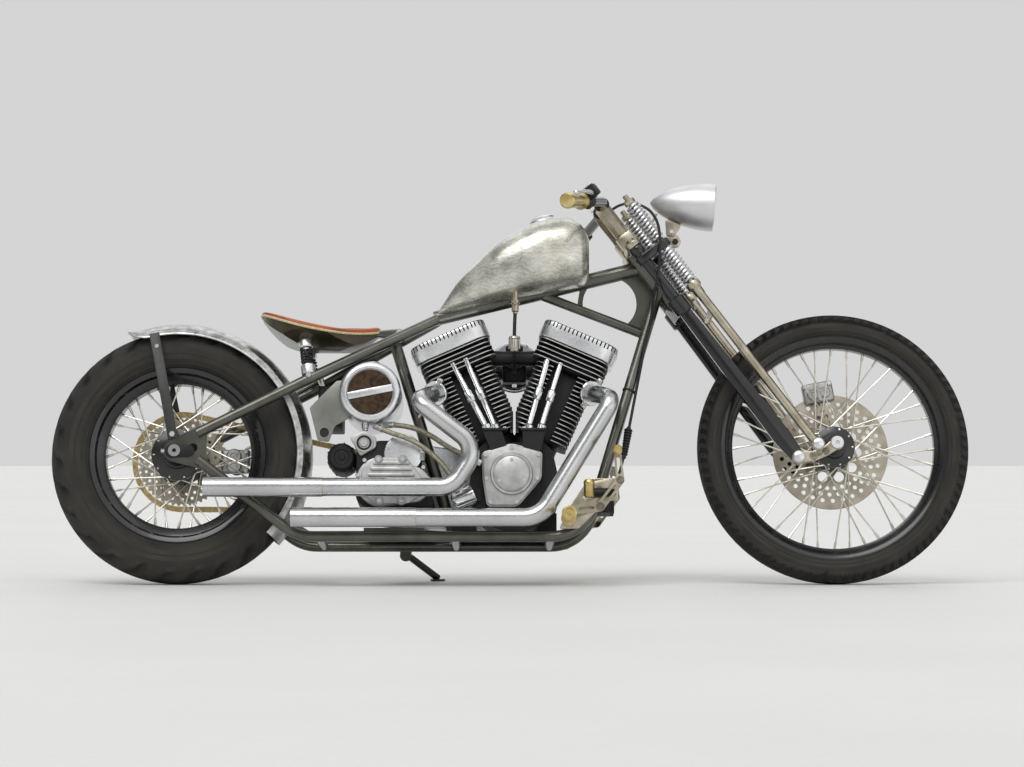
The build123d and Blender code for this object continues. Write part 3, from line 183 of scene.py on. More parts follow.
# bright chromium plate
chromePlate = finish("chromium_plate", ("#d2d4d6", "#e4e5e6"), 60, (0.05, 0.12), grain=2.0)
# satin chromium on spring wire: wider, softer lights along each turn
springChrome = finish("satin_chromium_wire", ("#c6c8ca", "#dddee0"), 60, (0.26, 0.36), grain=2.0)
# satin nickel, warm and a little yellow
satinNickel = finish("satin_nickel", ("#a69d8b", "#c5bdab"), 40, (0.22, 0.36), grain=0.9, stretch=(1, 1, 0.3))
# turned brass
turnedBrass = finish("turned_brass", ("#c2a868", "#dccb98"), 22, (0.26, 0.4), grain=0.7, bump=0.05)
# gold plated chain plates under a film of oil
goldChain = finish("gold_plated_links", ("#b59a5e", "#d8c48e"), 9, (0.26, 0.44), grain=1.0)
# dark oxidised bronze of the oil tank's inset
agedBronze = finish("aged_bronze", ("#33271f", "#50402f"), 12, (0.4, 0.6), metallic=0.8, grain=1.5, bump=0.3)
# moulded black rubber of boots, hoses and pads; the same black is painted shade on the cut walls of the
# rocker cover slots
blackRubberAndSlotShade = finish("moulded_black_rubber_and_slot_shade", ("#0c0c0c", "#151515"), 15, (0.5, 0.7), metallic=0.0, grain=1.0,
                     bump=0.1)
# satin dark grey paint of the fender struts
strutPaint = finish("dark_grey_paint", ("#2e2e2d", "#3a3a38"), 50, (0.36, 0.5), metallic=0.3, grain=1.0)
# painted seat pan, brown olive
panPaint = finish("brown_olive_paint", ("#332d1d", "#453d29"), 40, (0.3, 0.45), metallic=0.5, grain=1.0,
                  **{"Coat Weight": 0.4, "Coat Roughness": 0.15})
print("plain finishes made")

# ground and swirled bare tank steel under lacquer: grinder arcs, grey green clouds and some rust bloom
tankSteel = finish("swirl_ground_steel", ("#8f9086", "#dcdacf"), 70, (0.24, 0.4), metallic=0.75, grain=4.0,
                   bump=0.06, contrast=(0.28, 0.66), **{"Coat Weight": 0.8, "Coat Roughness": 0.08})
tree, shader, spot = opened(tankSteel)
swirl = addNode(tree, "ShaderNodeTexWave", {"Vector": spot.outputs["Object"], "Scale": 26.0,
                                            "Distortion": 14.0, "Detail": 3.0, "Detail Scale": 1.6},
                wave_type="RINGS")
rust = addNode(tree, "ShaderNodeTexNoise", {"Vector": spot.outputs["Object"], "Scale": 11.0, "Detail": 6.0,
                                            "Roughness": 0.6})
rustMask = addNode(tree, "ShaderNodeMapRange", {"Value": rust.outputs[0], "From Min": 0.56, "From Max": 0.76,
                                                "To Max": 0.34})
ground = shader.inputs["Base Color"].links[0].from_socket
marks = addNode(tree, "ShaderNodeMix", {0: 0.16, 6: ground, 7: swirl.outputs["Color"]}, data_type="RGBA",
                blend_type="OVERLAY")
bloom = addNode(tree, "ShaderNodeMix", {0: rustMask.outputs[0], 6: marks.outputs[2], 7: hexColour("#94653f")},
                data_type="RGBA")
tree.links.new(bloom.outputs[2], shader.inputs["Base Color"])

# waxed saddle leather: fine pores over creased grain, orange brown in two clouded tones
saddleLeather = finish("saddle_leather", ("#8a3d17", "#b45a26"), 45, (0.34, 0.5), metallic=0.0, grain=2.2,
                       bump=0.25, **{"Coat Weight": 0.15, "Coat Roughness": 0.3})
tree, shader, spot = opened(saddleLeather)
pores = addNode(tree, "ShaderNodeTexVoronoi", {"Vector": spot.outputs["Object"], "Scale": 420.0},
                feature="DISTANCE_TO_EDGE")
creases = addNode(tree, "ShaderNodeBump", {"Height": pores.outputs["Distance"], "Strength": 0.35,
                                           "Distance": 0.0006,
                                           "Normal": shader.inputs["Normal"].links[0].from_socket})
tree.links.new(creases.outputs[0], shader.inputs["Normal"])
creamPiping = finish("cream_piping", ("#b9a67e", "#d3c29b"), 6, (0.5, 0.65), metallic=0.0, grain=1.0,
                     bump=0.2)

# grey side plate, blasted and lacquered
plateGrey = finish("grey_lacquered_plate", ("#7d7f78", "#8f918a"), 60, (0.34, 0.46), metallic=0.8, grain=0.8)

# braided steel sleeve of the oil hoses: two crossing sets of wire, coarser than real so that they show
braidedSleeve = finish("braided_steel_sleeve", ("#8d8877", "#b5af9c"), 8, (0.35, 0.5), metallic=0.7,
                       grain=1.0)
tree, shader, spot = opened(braidedSleeve)
slant = [addNode(tree, "ShaderNodeMapping", {"Vector": spot.outputs["UV"], "Rotation": (0, 0, radians(a)),
                                             "Scale": (60, 8, 1)}) for a in (12, -12)]
wires = [addNode(tree, "ShaderNodeTexWave", {"Vector": m.outputs[0], "Scale": 1.0}) for m in slant]
cross = addNode(tree, "ShaderNodeMath", {0: wires[0].outputs[1], 1: wires[1].outputs[1]}, operation="MAXIMUM")
weave = addNode(tree, "ShaderNodeBump", {"Height": cross.outputs[0], "Strength": 0.5, "Distance": 0.0008})
tree.links.new(weave.outputs[0], shader.inputs["Normal"])

# clear pressed lamp glass
lampGlass = finish("clear_lamp_glass", ("#f4f6f8", "#ffffff"), 40, (0.02, 0.05), metallic=0.0, grain=3.0,
                   **{"Transmission Weight": 1.0, "IOR": 1.5})
lampMirror = finish("silvered_reflector", ("#d8dadc", "#f0f1f2"), 40, (0.05, 0.1), grain=2.0)
# pale floor, a little mottled
floorPaint = finish("pale_studio_floor", ("#dededc", "#e1e1df"), 900, (0.55, 0.7), metallic=0.0, grain=30)
print("patterned finishes made")


# modelling helpers

def soften(part, offset, segments=2, angle=40):
    edges = [e for e in part.edges if len(e.link_faces) == 2 and e.calc_face_angle(0) > radians(angle)]
    bmesh.ops.bevel(part, geom=edges, offset=offset, segments=segments, profile=0.5, affect="EDGES",
                    material=-1, clamp_overlap=True)
    return part


def lathe(profile, steps=32, closed=False, angle=360):
    # profile is a list of (z, radius), turned about local z
    part = bmesh.new()
    points = [part.verts.new((r, 0, z)) for z, r in profile]
    for a, b in zip(points, points[1:] + (points[:1] if closed else [])):
        part.edges.new((a, b))
    bmesh.ops.spin(part, geom=part.verts[:] + part.edges[:], cent=(0, 0, 0), axis=(0, 0, 1),
                   angle=radians(angle), steps=steps, use_merge=angle == 360)
    bmesh.ops.remove_doubles(part, verts=part.verts, dist=0.001)
    bmesh.ops.dissolve_degenerate(part, dist=0.0005, edges=part.edges)
    bmesh.ops.recalc_face_normals(part, faces=part.faces)
    return part


def rod(radius, length, steps=20, edge=0.8):
    edge = min(edge, radius * 0.4, length * 0.4)
    return lathe([(0, 0), (0, radius - edge), (edge, radius), (length - edge, radius),
                  (length, radius - edge), (length, 0)], steps)


def block(x, y, z, edge=1.5, segments=2):
    part = bmesh.new()
    bmesh.ops.create_cube(part, size=1.0, matrix=Matrix.Diagonal((x, y, z, 1)))
    return soften(part, edge, segments) if edge else part


def extruded(part, faces):  # the new points over the faces
    made = bmesh.ops.extrude_face_region(part, geom=faces)
    return [g for g in made["geom"] if isinstance(g, bmesh.types.BMVert)]


def thicken(part, low, high):
    bmesh.ops.translate(part, vec=(0, 0, low), verts=part.verts)
    bmesh.ops.translate(part, vec=(0, 0, high - low), verts=extruded(part, part.faces[:]))
    bmesh.ops.recalc_face_normals(part, faces=part.faces)
    return part


def farthest(circles, n):  # the circle of (x, y, radius) that reaches farthest along n
    return max(circles, key=lambda c: c[0] * n.x + c[1] * n.y + c[2])


def hullPlate(circles, low, high, edge=1.2, segments=2, count=48):
    # plate around circles of (x, y, radius)
    part = bmesh.new()
    bmesh.ops.create_circle(part, segments=count, radius=1.0, cap_ends=True)
    for v in part.verts:
        n = v.co.normalized()
        x, y, r = farthest(circles, n)
        v.co = (x + n.x * r, y + n.y * r, 0)
    thicken(part, low, high)
    return soften(part, edge, segments) if edge else part


def roundCorners(part, corners, offset, segments):
    bmesh.ops.bevel(part, geom=corners, offset=offset, segments=segments, profile=0.5, affect="VERTICES",
                    material=-1, clamp_overlap=True)


def cutPlate(points, low, high, corner=4, edge=1.2, segments=2):
    # plate with rounded corners from a few points
    part = bmesh.new()
    part.faces.new([part.verts.new((x, y, 0)) for x, y in points])
    if corner:
        roundCorners(part, part.verts[:], corner, 5)
    thicken(part, low, high)
    return soften(part, edge, segments, 30) if edge else part


def closeHoles(part):
    bmesh.ops.holes_fill(part, edges=[e for e in part.edges if e.is_boundary], sides=0)
    bmesh.ops.recalc_face_normals(part, faces=part.faces)


def bridgeRings(part, rings):
    loops = [{e for v in ring for e in v.link_edges} for ring in rings]
    for a, b in zip(loops, loops[1:]):
        bmesh.ops.bridge_loops(part, edges=list(a | b))


def coil(mean, wire, length, turns, sides=8):
    part = bmesh.new()
    bmesh.ops.create_circle(part, segments=sides, radius=wire, matrix=at(mean, 0, wire) @ turnBy(90, "X"))
    steps = int(turns * 20)
    bmesh.ops.spin(part, geom=part.verts[:] + part.edges[:], cent=(0, 0, 0), axis=(0, 0, 1),
                   angle=turns * 2 * pi, steps=steps, dvec=(0, 0, (length - 2 * wire) / steps))
    closeHoles(part)
    return part


def bolt(radius, height, sides=6):
    # hexagon head with a chamfered top, or a socket head when sides is more than 6
    if sides == 6:
        return lathe([(0, 0), (0, radius), (height * 0.8, radius), (height, radius * 0.85), (height, 0)], 6)
    return lathe([(0, 0), (0, radius), (height * 0.9, radius), (height, radius * 0.92),
                  (height, radius * 0.5), (height * 0.4, radius * 0.5), (height * 0.4, 0)], 18)


def tinted(part, index):
    for f in part.faces:
        f.material_index = index
    return part


def put(piece, part, place=Matrix(), keep=False):
    mesh = bpy.data.meshes.new("part")
    part.to_mesh(mesh)
    mesh.transform(place)
    piece.from_mesh(mesh)
    bpy.data.meshes.remove(mesh)
    if not keep:
        part.free()


def ringOf(piece, part, count, place, offset, start=0):
    # copies of the part at the offset, spread evenly about the place's z
    for k in range(count):
        put(piece, part, place @ turnBy(start + k * 360 / count, "Z") @ offset, True)
    part.free()


def meshObject(name, part):
    mesh = bpy.data.meshes.new(name)
    part.to_mesh(mesh)
    part.free()
    made = bpy.data.objects.new(name, mesh)
    scene.collection.objects.link(made)
    return made


def carve(part, cutters):
    # takes the cutters' volume out of the part
    body, tool = meshObject("carved", part), meshObject("cutters", cutters)
    cut = body.modifiers.new("cut", "BOOLEAN")
    cut.operation, cut.object, cut.solver = "DIFFERENCE", tool, "EXACT"
    bpy.context.view_layer.update()
    mesh = bpy.data.meshes.new_from_object(body.evaluated_get(bpy.context.evaluated_depsgraph_get()))
    result = bmesh.new()
    result.from_mesh(mesh)
    for made in (body, tool):
        bpy.data.objects.remove(made)
    bpy.data.meshes.remove(mesh)
    return result


def show(name, piece, materials, nodes=(), body="frame", place=bike, smooth=32):
    bmesh.ops.transform(piece, matrix=place, verts=piece.verts)
    made = meshObject(name, piece)
    materials = materials if isinstance(materials, (list, tuple)) else [materials]
    for material in materials:
        made.data.materials.append(material)
    made.data.shade_smooth()
    made.data.set_sharp_from_angle(angle=radians(smooth))
    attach(made, body)
    if nodes:
        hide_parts(*nodes)
    return made


def basis(start, end, across):  # local z runs from start to end and local x leans towards across
    z = (Vector(end) - Vector(start)).normalized()
    x = (Vector(across) - z * z.dot(Vector(across))).normalized()
    turn = Matrix((x, z.cross(x), z)).transposed().to_4x4()
    return Matrix.Translation(start) @ turn


def meshed(line):
    # the mesh of a curve object, which is removed
    curve = line.data
    mesh = bpy.data.meshes.new_from_object(line)
    part = bmesh.new()
    part.from_mesh(mesh)
    bpy.data.objects.remove(line)
    bpy.data.curves.remove(curve)
    bpy.data.meshes.remove(mesh)
    return part


def tubeAlong(points, radius, closed=False, curved=True, sides=3):
    # round tube along points
    curve = bpy.data.curves.new("tube", "CURVE")
    curve.dimensions = "3D"
    spline = curve.splines.new("NURBS" if curved else "POLY")
    spline.points.add(len(points) - 1)
    for point, spotOn in zip(spline.points, points):
        point.co = (*spotOn, 1)
    if curved:
        spline.order_u, spline.use_endpoint_u = 3, not closed
    spline.use_cyclic_u, spline.resolution_u = closed, 10
    curve.bevel_depth, curve.bevel_resolution, curve.use_fill_caps = radius, sides, True
    line = bpy.data.objects.new("tube", curve)
    scene.collection.objects.link(line)
    return meshed(line)


# camera, floor and light

studio = {"camera": (0.0045, -8.111, 0.336), "pitch": 1.19, "lens": 112.5}
lens = bpy.data.cameras.new("camera")
lens.lens, lens.sensor_width = studio["lens"], 36.0
camera = bpy.data.objects.new("camera", lens)
camera.location = studio["camera"]
camera.rotation_euler = (radians(90 + studio["pitch"]), 0, 0)
scene.collection.objects.link(camera)
scene.camera = camera

ground = bmesh.new()
bmesh.ops.create_circle(ground, cap_ends=True, segments=96, radius=60.0)
floor = meshObject("studio_floor", ground)
floor.data.materials.append(floorPaint)

for name, tilt, turn, level, spread in (("key", 38, -25, 1.35, 40), ("fill", 62, 40, 0.7, 70),
                                        ("back", 50, 180, 0.5, 60)):
    lamp = bpy.data.lights.new(name, "SUN")
    lamp.energy, lamp.angle = level, radians(spread)
    holder = bpy.data.objects.new(name, lamp)
    holder.rotation_euler = (radians(tilt), 0, radians(turn))
    scene.collection.objects.link(holder)

world = bpy.data.worlds.new("studio")
scene.world = world
world.use_nodes = True
tree = world.node_tree
spot = addNode(tree, "ShaderNodeTexCoord")
height = addNode(tree, "ShaderNodeSeparateXYZ", {0: spot.outputs["Generated"]})
sky = addNode(tree, "ShaderNodeValToRGB", {"Fac": height.outputs["Z"]})
sky.color_ramp.elements[0].position, sky.color_ramp.elements[0].color = 0.0, (0.78, 0.78, 0.78, 1)
sky.color_ramp.elements[1].position, sky.color_ramp.elements[1].color = 1.0, (0.8, 0.8, 0.8, 1)
for position, level in ((0.16, 0.78), (0.34, 0.22), (0.6, 0.3), (0.8, 0.8)):
    sky.color_ramp.elements.new(position).color = (level, level, level, 1)
backing = tree.nodes["Background"]
tree.links.new(sky.outputs["Color"], backing.inputs["Color"])
backing.inputs["Strength"].default_value = 0.85
print("camera, floor and light set")

# cords


def splineOf(name, route):
    # a NURBS line with the route as its control points, and the points along it
    curve = bpy.data.curves.new(name, "CURVE")
    curve.dimensions = "3D"
    spline = curve.splines.new("NURBS")
    spline.points.add(len(route) - 1)
    for point, spotOn in zip(spline.points, route):
        point.co = (*spotOn, 1)
    spline.order_u, spline.use_endpoint_u, spline.resolution_u = 3, True, 16
    line = bpy.data.objects.new(name, curve)
    scene.collection.objects.link(line)
    mesh = bpy.data.meshes.new_from_object(line)
    points = [v.co.copy() for v in mesh.vertices]
    bpy.data.meshes.remove(mesh)
    curve.bevel_resolution, curve.use_fill_caps = 4, True
    return line, points


def lengthOf(points):
    return round(sum((a - b).length for a, b in zip(points, points[1:])), 3)


# two braided oil hoses from the oil tank to the engine, ends in hexagon fittings
oilHoses = {"radius": 6.5, "routes": {
    "oil_feed_hose": ((520, -70, 392), (556, -90, 391), (622, -102, 371), (690, -106, 322), (757, -106, 292)),
    "oil_return_hose": ((496, -92, 386), (526, -120, 368), (596, -128, 345), (658, -126, 296),
                        (700, -120, 236), (712, -118, 216))}}
fittings = bmesh.new()
for name, route in oilHoses["routes"].items():
    line, points = splineOf(name, [bike @ Vector(p) for p in route])
    line.data.bevel_depth = oilHoses["radius"] * 0.001
    line.data.materials.append(braidedSleeve)
    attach(line, "frame")
    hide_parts("oil_lines")
    print("cord", name, lengthOf(points), "m")
    for end, inner in ((route[0], route[1]), (route[-1], route[-2])):
        put(fittings, rod(8.2, 16, 6), along(end, inner) @ at(0, 0, -3))
        put(fittings, rod(7.6, 14), along(end, inner) @ at(0, 0, 12))
show("oil_hose_fittings", fittings, polishedAluminium, ["oil_lines"])

# chrome oil filter can beside the cam cover: fluted dome at its free end, rolled rim at its seat
oilFilter = {"ends": ((690, -118, 190), (742, -118, 213)), "radius": 24, "flutes": 14}
can = bmesh.new()
run, r = span(*oilFilter["ends"]), oilFilter["radius"]
put(can, lathe([(0, 0), (0, r - 11), (1, r - 7), (4, r - 3), (8, r - 1), (run - 10, r - 1), (run - 9, r),
                (run - 5, r), (run - 4, r - 1.5), (run, r - 2), (run, 0)], 56), along(*oilFilter["ends"]))
ringOf(can, rod(1.6, 9, 10), oilFilter["flutes"], along(*oilFilter["ends"]), at(r - 2.2, 0, 6))
show("oil_filter_can", can, chromePlate, ["oil_lines"])

# black control cable: from the left perch round the right springs, down the downtube into a ribbed boot;
# its points above the neck are placed with the fork and the ones below with the frame
cable = {"fork": ((-28, 240, 815), (20, 190, 822), (66, 110, 812), (84, 20, 778), (84, -60, 748),
                  (86, -112, 715), (78, -124, 672), (42, -126, 622), (10, -125, 585), (-20, -120, 556)),
         "frame": ((1190, -104, 712), (1186, -64, 664), (1172, -61, 613), (1160, -66, 547), (1146, -66, 477),
                   (1131, -78, 400), (1120, -92, 345), (1110, -108, 292), (1096, -131, 246)), "radius": 3.6,
         "blend": ((1196, -120, 738), (1196, -120, 620)), "boot": ((1127, -83, 384), (1113, -103, 304))}
line, points = splineOf("cable", [fork @ Vector(p) for p in cable["fork"]]
                        + [bike @ Vector(p) for p in cable["frame"]])
line.data.bevel_depth = cable["radius"] * 0.001
led = meshObject("control_cable", meshed(line))
led.data.materials.append(blackRubberAndSlotShade)
led.data.shade_smooth()
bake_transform(led)
print("cord control_cable", lengthOf(points), "m")
boot = bmesh.new()
run = span(*cable["boot"])
wave = ((0.0, 7.5), (0.02, 10.5), (0.05, 10.5), (0.07, 7.5))
ribs = [(run * (0.06 + 0.086 * k + d), r - 0.25 * k) for k in range(10) for d, r in wave]
put(boot, lathe([(0, 0), (0, 5.5), (run * 0.05, 6.5)] + ribs + [(run * 0.96, 5.5), (run, 5), (run, 0)], 28),
    along(*cable["boot"]))
# tie round cable and tube
put(boot, hullPlate(((0, 0, 16), (19, -8, 6)), -2.5, 2.5, 0.8), along((1128, -59.5, 480), (1140, -54, 520)))
show("cable_boot", boot, blackRubberAndSlotShade)

# two wheels: tyre with cut tread, rim, laced spokes with nipples, hub, disc or toothed rotor
wheels = {"rear": {"axle": rearAxle, "body": "rear_wheel", "rim": 217, "inner": 181, "half": 44, "flange": 60,
                   "halfFlange": 44, "hub": (-66, 91), "boss": 40, "radius": 320, "crown": 78,
                   "wall": ((50, 301.9), (57, 292), (62.5, 281), (65, 270), (64.2, 256), (60, 242), (53, 231),
                            (45, 223.5), (39, 219.5), (39, 211)), "bands": (0, 9, 20, 30, 40, 50),
                   "grooved": (9, 54), "periods": 26, "rows": 4, "slot": 7, "slant": 42, "depth": 4.5},
          "front": {"axle": frontAxle, "body": "front_wheel", "rim": 279, "inner": 252, "half": 31,
                    "flange": 47, "halfFlange": 34, "hub": (-62, 62), "boss": 34, "radius": 341, "crown": 50,
                    "wall": ((36, 325.7), (40.5, 318), (44, 311.5), (45, 304), (43.4, 295), (38.5, 288),
                             (32, 283.8), (26.5, 281.4), (26, 274)), "bands": (0, 4, 12, 15, 25, 36),
                    "grooved": (15, 41), "periods": 84, "rows": 2, "slot": 7, "slant": 12, "depth": 4.0}}
lacing = {"perSide": 20, "lead": 54, "hubStep": 4.2, "rimOff": 6, "rimStep": 1.2}


def treadedTyre(w):
    crown = [(y, w["radius"] - w["crown"] + sqrt(w["crown"] ** 2 - y * y)) for y in w["bands"][:-1]]
    half = crown + list(w["wall"])
    profile = [(-y, r) for y, r in reversed(half)] + half[1:]
    count = w["periods"] * w["rows"]
    part = lathe(profile, count)
    pace = 2 * pi / count

    def row(angle):
        return int(round((angle % (2 * pi)) / pace)) % count

    chosen = []
    for f in part.faces:
        mid = f.calc_center_median()
        reach = abs(mid.z)
        middle = row(atan2(mid.y, mid.x) - pace / 2) % w["rows"]
        across = w["grooved"][0] < reach < w["grooved"][1] and mid.xy.length > w["wall"][1][1] - 1
        if w["rows"] == 4:
            hit = across and middle == (0 if mid.z < 0 else 2)
        else:
            hit = (across and middle == 0) or w["bands"][2] < reach < w["bands"][3]
        if hit:
            chosen.append(f)
    narrow = pace - w["slot"] / w["radius"]
    for v in part.verts:
        tread = v.co.xy.length > w["wall"][1][1] - 1
        place = row(atan2(v.co.y, v.co.x)) % w["rows"]
        if w["rows"] == 4:
            # the sidewall turns as far as the shoulder above it
            reach = abs(v.co.z) if tread else w["wall"][1][0]
            shift = w["slant"] / w["radius"] * reach / w["wall"][0][0]
            shift -= narrow if tread and place == (1 if v.co.z < 0 else 3) and v.co.z else 0
        else:
            zig = {w["bands"][1]: 0.0, w["bands"][2]: 1.0, w["bands"][3]: 1.0,
                   w["bands"][4]: -0.2}.get(round(abs(v.co.z)), 0.0)
            shift = w["slant"] / w["radius"] * zig - (narrow if place == 1 else 0) if tread else 0
        v.co.xy = Matrix.Rotation(shift, 2) @ v.co.xy
    centre = w["radius"] - w["crown"]
    for v in extruded(part, chosen):
        out = Vector((v.co.xy.length - centre, v.co.z)).normalized() * w["depth"]
        v.co.xy *= (v.co.xy.length - out.x) / v.co.xy.length
        v.co.z -= out.y
    bmesh.ops.recalc_face_normals(part, faces=part.faces)
    return part


for end, w in wheels.items():
    half, rim, inner, body = w["half"], w["rim"], w["inner"], w["body"]
    tyre = bmesh.new()
    put(tyre, treadedTyre(w))
    for side in (1, -1):  # thin ribs moulded on the sidewall
        for y, r in w["wall"][4:7:2]:
            put(tyre, lathe([(side * (y - 1), r + 2), (side * (y + 0.9), r + 1), (side * (y + 0.9), r - 1),
                             (side * (y - 1), r - 2)], 120))
        dust = [(side * (y + 0.25), r) for y, r in w["wall"][3:6]]
        put(tyre, tinted(lathe(dust + [(side * (y - 2), r) for y, r in w["wall"][5:2:-1]], 120, True), 1))
    show(end + "_tyre_treaded", tyre, [tyreRubber, dustyRubber], [end + "_tyre"], body, w["axle"] @ sideOn)
    section = [(0, inner + 4), (half * 0.5, inner + 7), (half * 0.62, rim - 10), (half - 7, rim - 8),
               (half - 6, rim + 1), (half - 3, rim + 5), (half + 1, rim + 3), (half, rim - 3),
               (half - 3, rim - 9), (half * 0.74, rim - 14), (half * 0.6, inner + 10),
               (half * 0.46, inner + 1.5), (0, inner)]
    band = lathe(section + [(-y, r) for y, r in section[-2:0:-1]], 120, True)
    show(end + "_rim", band, rimPaint, [end + "_wheel"], body, w["axle"] @ sideOn)
    low, high = w["hub"]
    f, e, b = w["flange"], w["halfFlange"], w["boss"]
    drum = lathe([(low, 10), (low, b - 8), (low + 2, b - 5), (-e - 9, b - 3), (-e - 6, f + 3),
                  (-e - 5, f + 5), (-e + 4, f + 5), (-e + 6, f + 2), (-e + 12, b), (-10, b - 5), (-9, b - 2),
                  (-4, b - 2), (-3, b - 5), (3, b - 5), (4, b - 2), (9, b - 2), (10, b - 5), (e - 12, b),
                  (e - 6, f + 2), (e - 4, f + 5), (e + 5, f + 5), (e + 6, f + 3), (e + 9, b), (high - 2, b),
                  (high, b - 3), (high, 10)], 64, True)
    show(end + "_hub", drum, rimPaint, [end + "_wheel"], body, w["axle"] @ sideOn @ turnBy(180, "X"))
    laced = bmesh.new()
    for side in (1, -1):
        for k in range(lacing["perSide"]):
            hand = 1 if k % 2 else -1
            hole = (k + (0.5 if side > 0 else 0)) * 360 / lacing["perSide"]
            tip = hole + hand * lacing["lead"]
            hubEnd = onCircle(f - 1, hole, side * e + hand * lacing["hubStep"])
            rimEnd = onCircle(inner + 3, tip, side * lacing["rimOff"] + hand * lacing["rimStep"])
            run = span(hubEnd, rimEnd)
            put(laced, lathe([(-3, 0), (-2.4, 3), (0, 4), (2.4, 3), (3, 2), (run - 20, 2), (run - 19, 3.4),
                              (run - 4, 3.6), (run, 3.6), (run, 0)], 8), along(hubEnd, rimEnd))
    show(end + "_laced_spokes", laced, stainlessWire, [end + "_spokes"], body, w["axle"])
print("tyres, rims, hubs and spokes made")

# brake discs: front drilled in slanting rows, rear one toothed for the chain
frontDisc = {"y": 58, "thick": 5, "outer": 146, "bore": 34.5,
             "rows": ((92, 30, 5.5, 0), (108, 30, 5.5, 4), (124, 30, 5.5, 8)), "windows": (66, 10, 13, 0),
             "bolts": (48, 5, 18)}
cutters = bmesh.new()
for radius, count, hole, turn in frontDisc["rows"] + (frontDisc["windows"],):
    ringOf(cutters, rod(hole, 20, 14 if hole < 10 else 20, 0), count, Matrix(), at(radius, 0, -10), turn)
face, rimRadius, bore = frontDisc["thick"] / 2, frontDisc["outer"], frontDisc["bore"]
ring = lathe([(-face, bore), (-face, rimRadius - 1), (1 - face, rimRadius), (face - 1, rimRadius),
              (face, rimRadius - 1), (face, bore)], 96, True)
disc = bmesh.new()
put(disc, carve(ring, cutters))
radius, count, turn = frontDisc["bolts"]
ringOf(disc, bolt(7, 5, 12), count, Matrix(), at(radius, 0, face), turn)
ringOf(disc, bolt(7, 4, 6), count, Matrix(), at(radius, 0, -face) @ turnBy(180, "X"), turn)
show("front_brake_disc_drilled", disc, discSteel, ["front_disc"], "front_wheel",
     frontAxle @ at(0, frontDisc["y"], 0) @ sideOn)

rearRotor = {"y": 88, "thick": 6, "teeth": 48, "tip": 113.2, "root": 107.5, "bore": 40.5,
             "holes": ((96, 24, 4.2, 0), (84, 24, 4.2, 7), (60, 6, 9, 0)), "bolts": (51, 5, 30)}
gear = bmesh.new()
for k in range(rearRotor["teeth"]):
    for step, size in enumerate(("root", "tip", "tip", "root")):
        turn = turnBy((k + step / 4) * 360 / rearRotor["teeth"], "Z")
        gear.verts.new(turn @ Vector((rearRotor[size], 0, 0)))
gear.faces.new(gear.verts[:])
face = rearRotor["thick"] / 2
thicken(gear, -face, face)
cutters = bmesh.new()
put(cutters, rod(rearRotor["bore"], 20, 48, 0), at(0, 0, -10))
for radius, count, hole, turn in rearRotor["holes"]:
    ringOf(cutters, rod(hole, 20, 12 if hole < 5 else 20, 0), count, Matrix(), at(radius, 0, -10), turn)
rotor = bmesh.new()
put(rotor, carve(gear, cutters))
radius, count, turn = rearRotor["bolts"]
ringOf(rotor, bolt(7, 5, 12), count, Matrix(), at(radius, 0, -face) @ turnBy(180, "X"), turn)
show("rear_toothed_rotor", rotor, discSteel, ["rear_sprocket"], "rear_wheel",
     rearAxle @ at(0, rearRotor["y"], 0) @ sideOn)
print("discs made")

# roller chain: inner and outer plates, rollers and pin heads
chain = {"pitch": 15.875, "gear": (555, 258), "wheel": (0, axleHeight), "teeth": (rearRotor["teeth"], 24)}
big, small = (chain["pitch"] / (2 * sin(pi / n)) for n in chain["teeth"])
wheel, gearAt = Vector(chain["wheel"]), Vector(chain["gear"])
reach = gearAt - wheel
tilt = atan2(reach.y, reach.x)
lift = pi / 2 - asin((big - small) / reach.length)
run = sqrt(reach.length ** 2 - (big - small) ** 2)
lengths = (run, 2 * lift * small, run, (2 * pi - 2 * lift) * big)
links = round(sum(lengths) / chain["pitch"] / 2) * 2
pins = []
top, low = tilt + lift, tilt - lift
for k in range(links):
    d = k * sum(lengths) / links
    if d < lengths[0]:
        pins.append(wheel + big * ray(top) + d * ray(top - pi / 2))
    elif d < sum(lengths[:2]):
        pins.append(gearAt + small * ray(top - (d - lengths[0]) / small))
    elif d < sum(lengths[:3]):
        pins.append(gearAt + small * ray(low) + (d - sum(lengths[:2])) * ray(low - pi / 2))
    else:
        pins.append(wheel + big * ray(low - (d - sum(lengths[:3])) / big))
linked = bmesh.new()
plates = [hullPlate(((0, 0, 6.6), (16, 0, 6.6)), z, z + 1.8, 0, count=14) for z in (3.4, -5.2, 5.6, -7.4)]
roller = tinted(lathe([(-3.4, 0), (-3.4, 5), (3.4, 5), (3.4, 0)], 8), 1)
pin = tinted(lathe([(-8.6, 0), (-8.6, 2.6), (8.6, 2.6), (8.6, 0)], 8), 1)
for k, spotOn in enumerate(pins):
    step = pins[(k + 1) % links] - spotOn
    place = at(spotOn.x, rearRotor["y"], spotOn.y) @ sideOn @ turnBy(degrees(atan2(step.y, step.x)), "Z")
    for part in plates[:2] if k % 2 else plates[2:]:
        put(linked, part, place, True)
    put(linked, roller, place, True)
    put(linked, pin, place, True)
show("drive_chain_links", linked, [goldChain, discSteel], ["drive_chain"])
print("chain made:", links, "links")

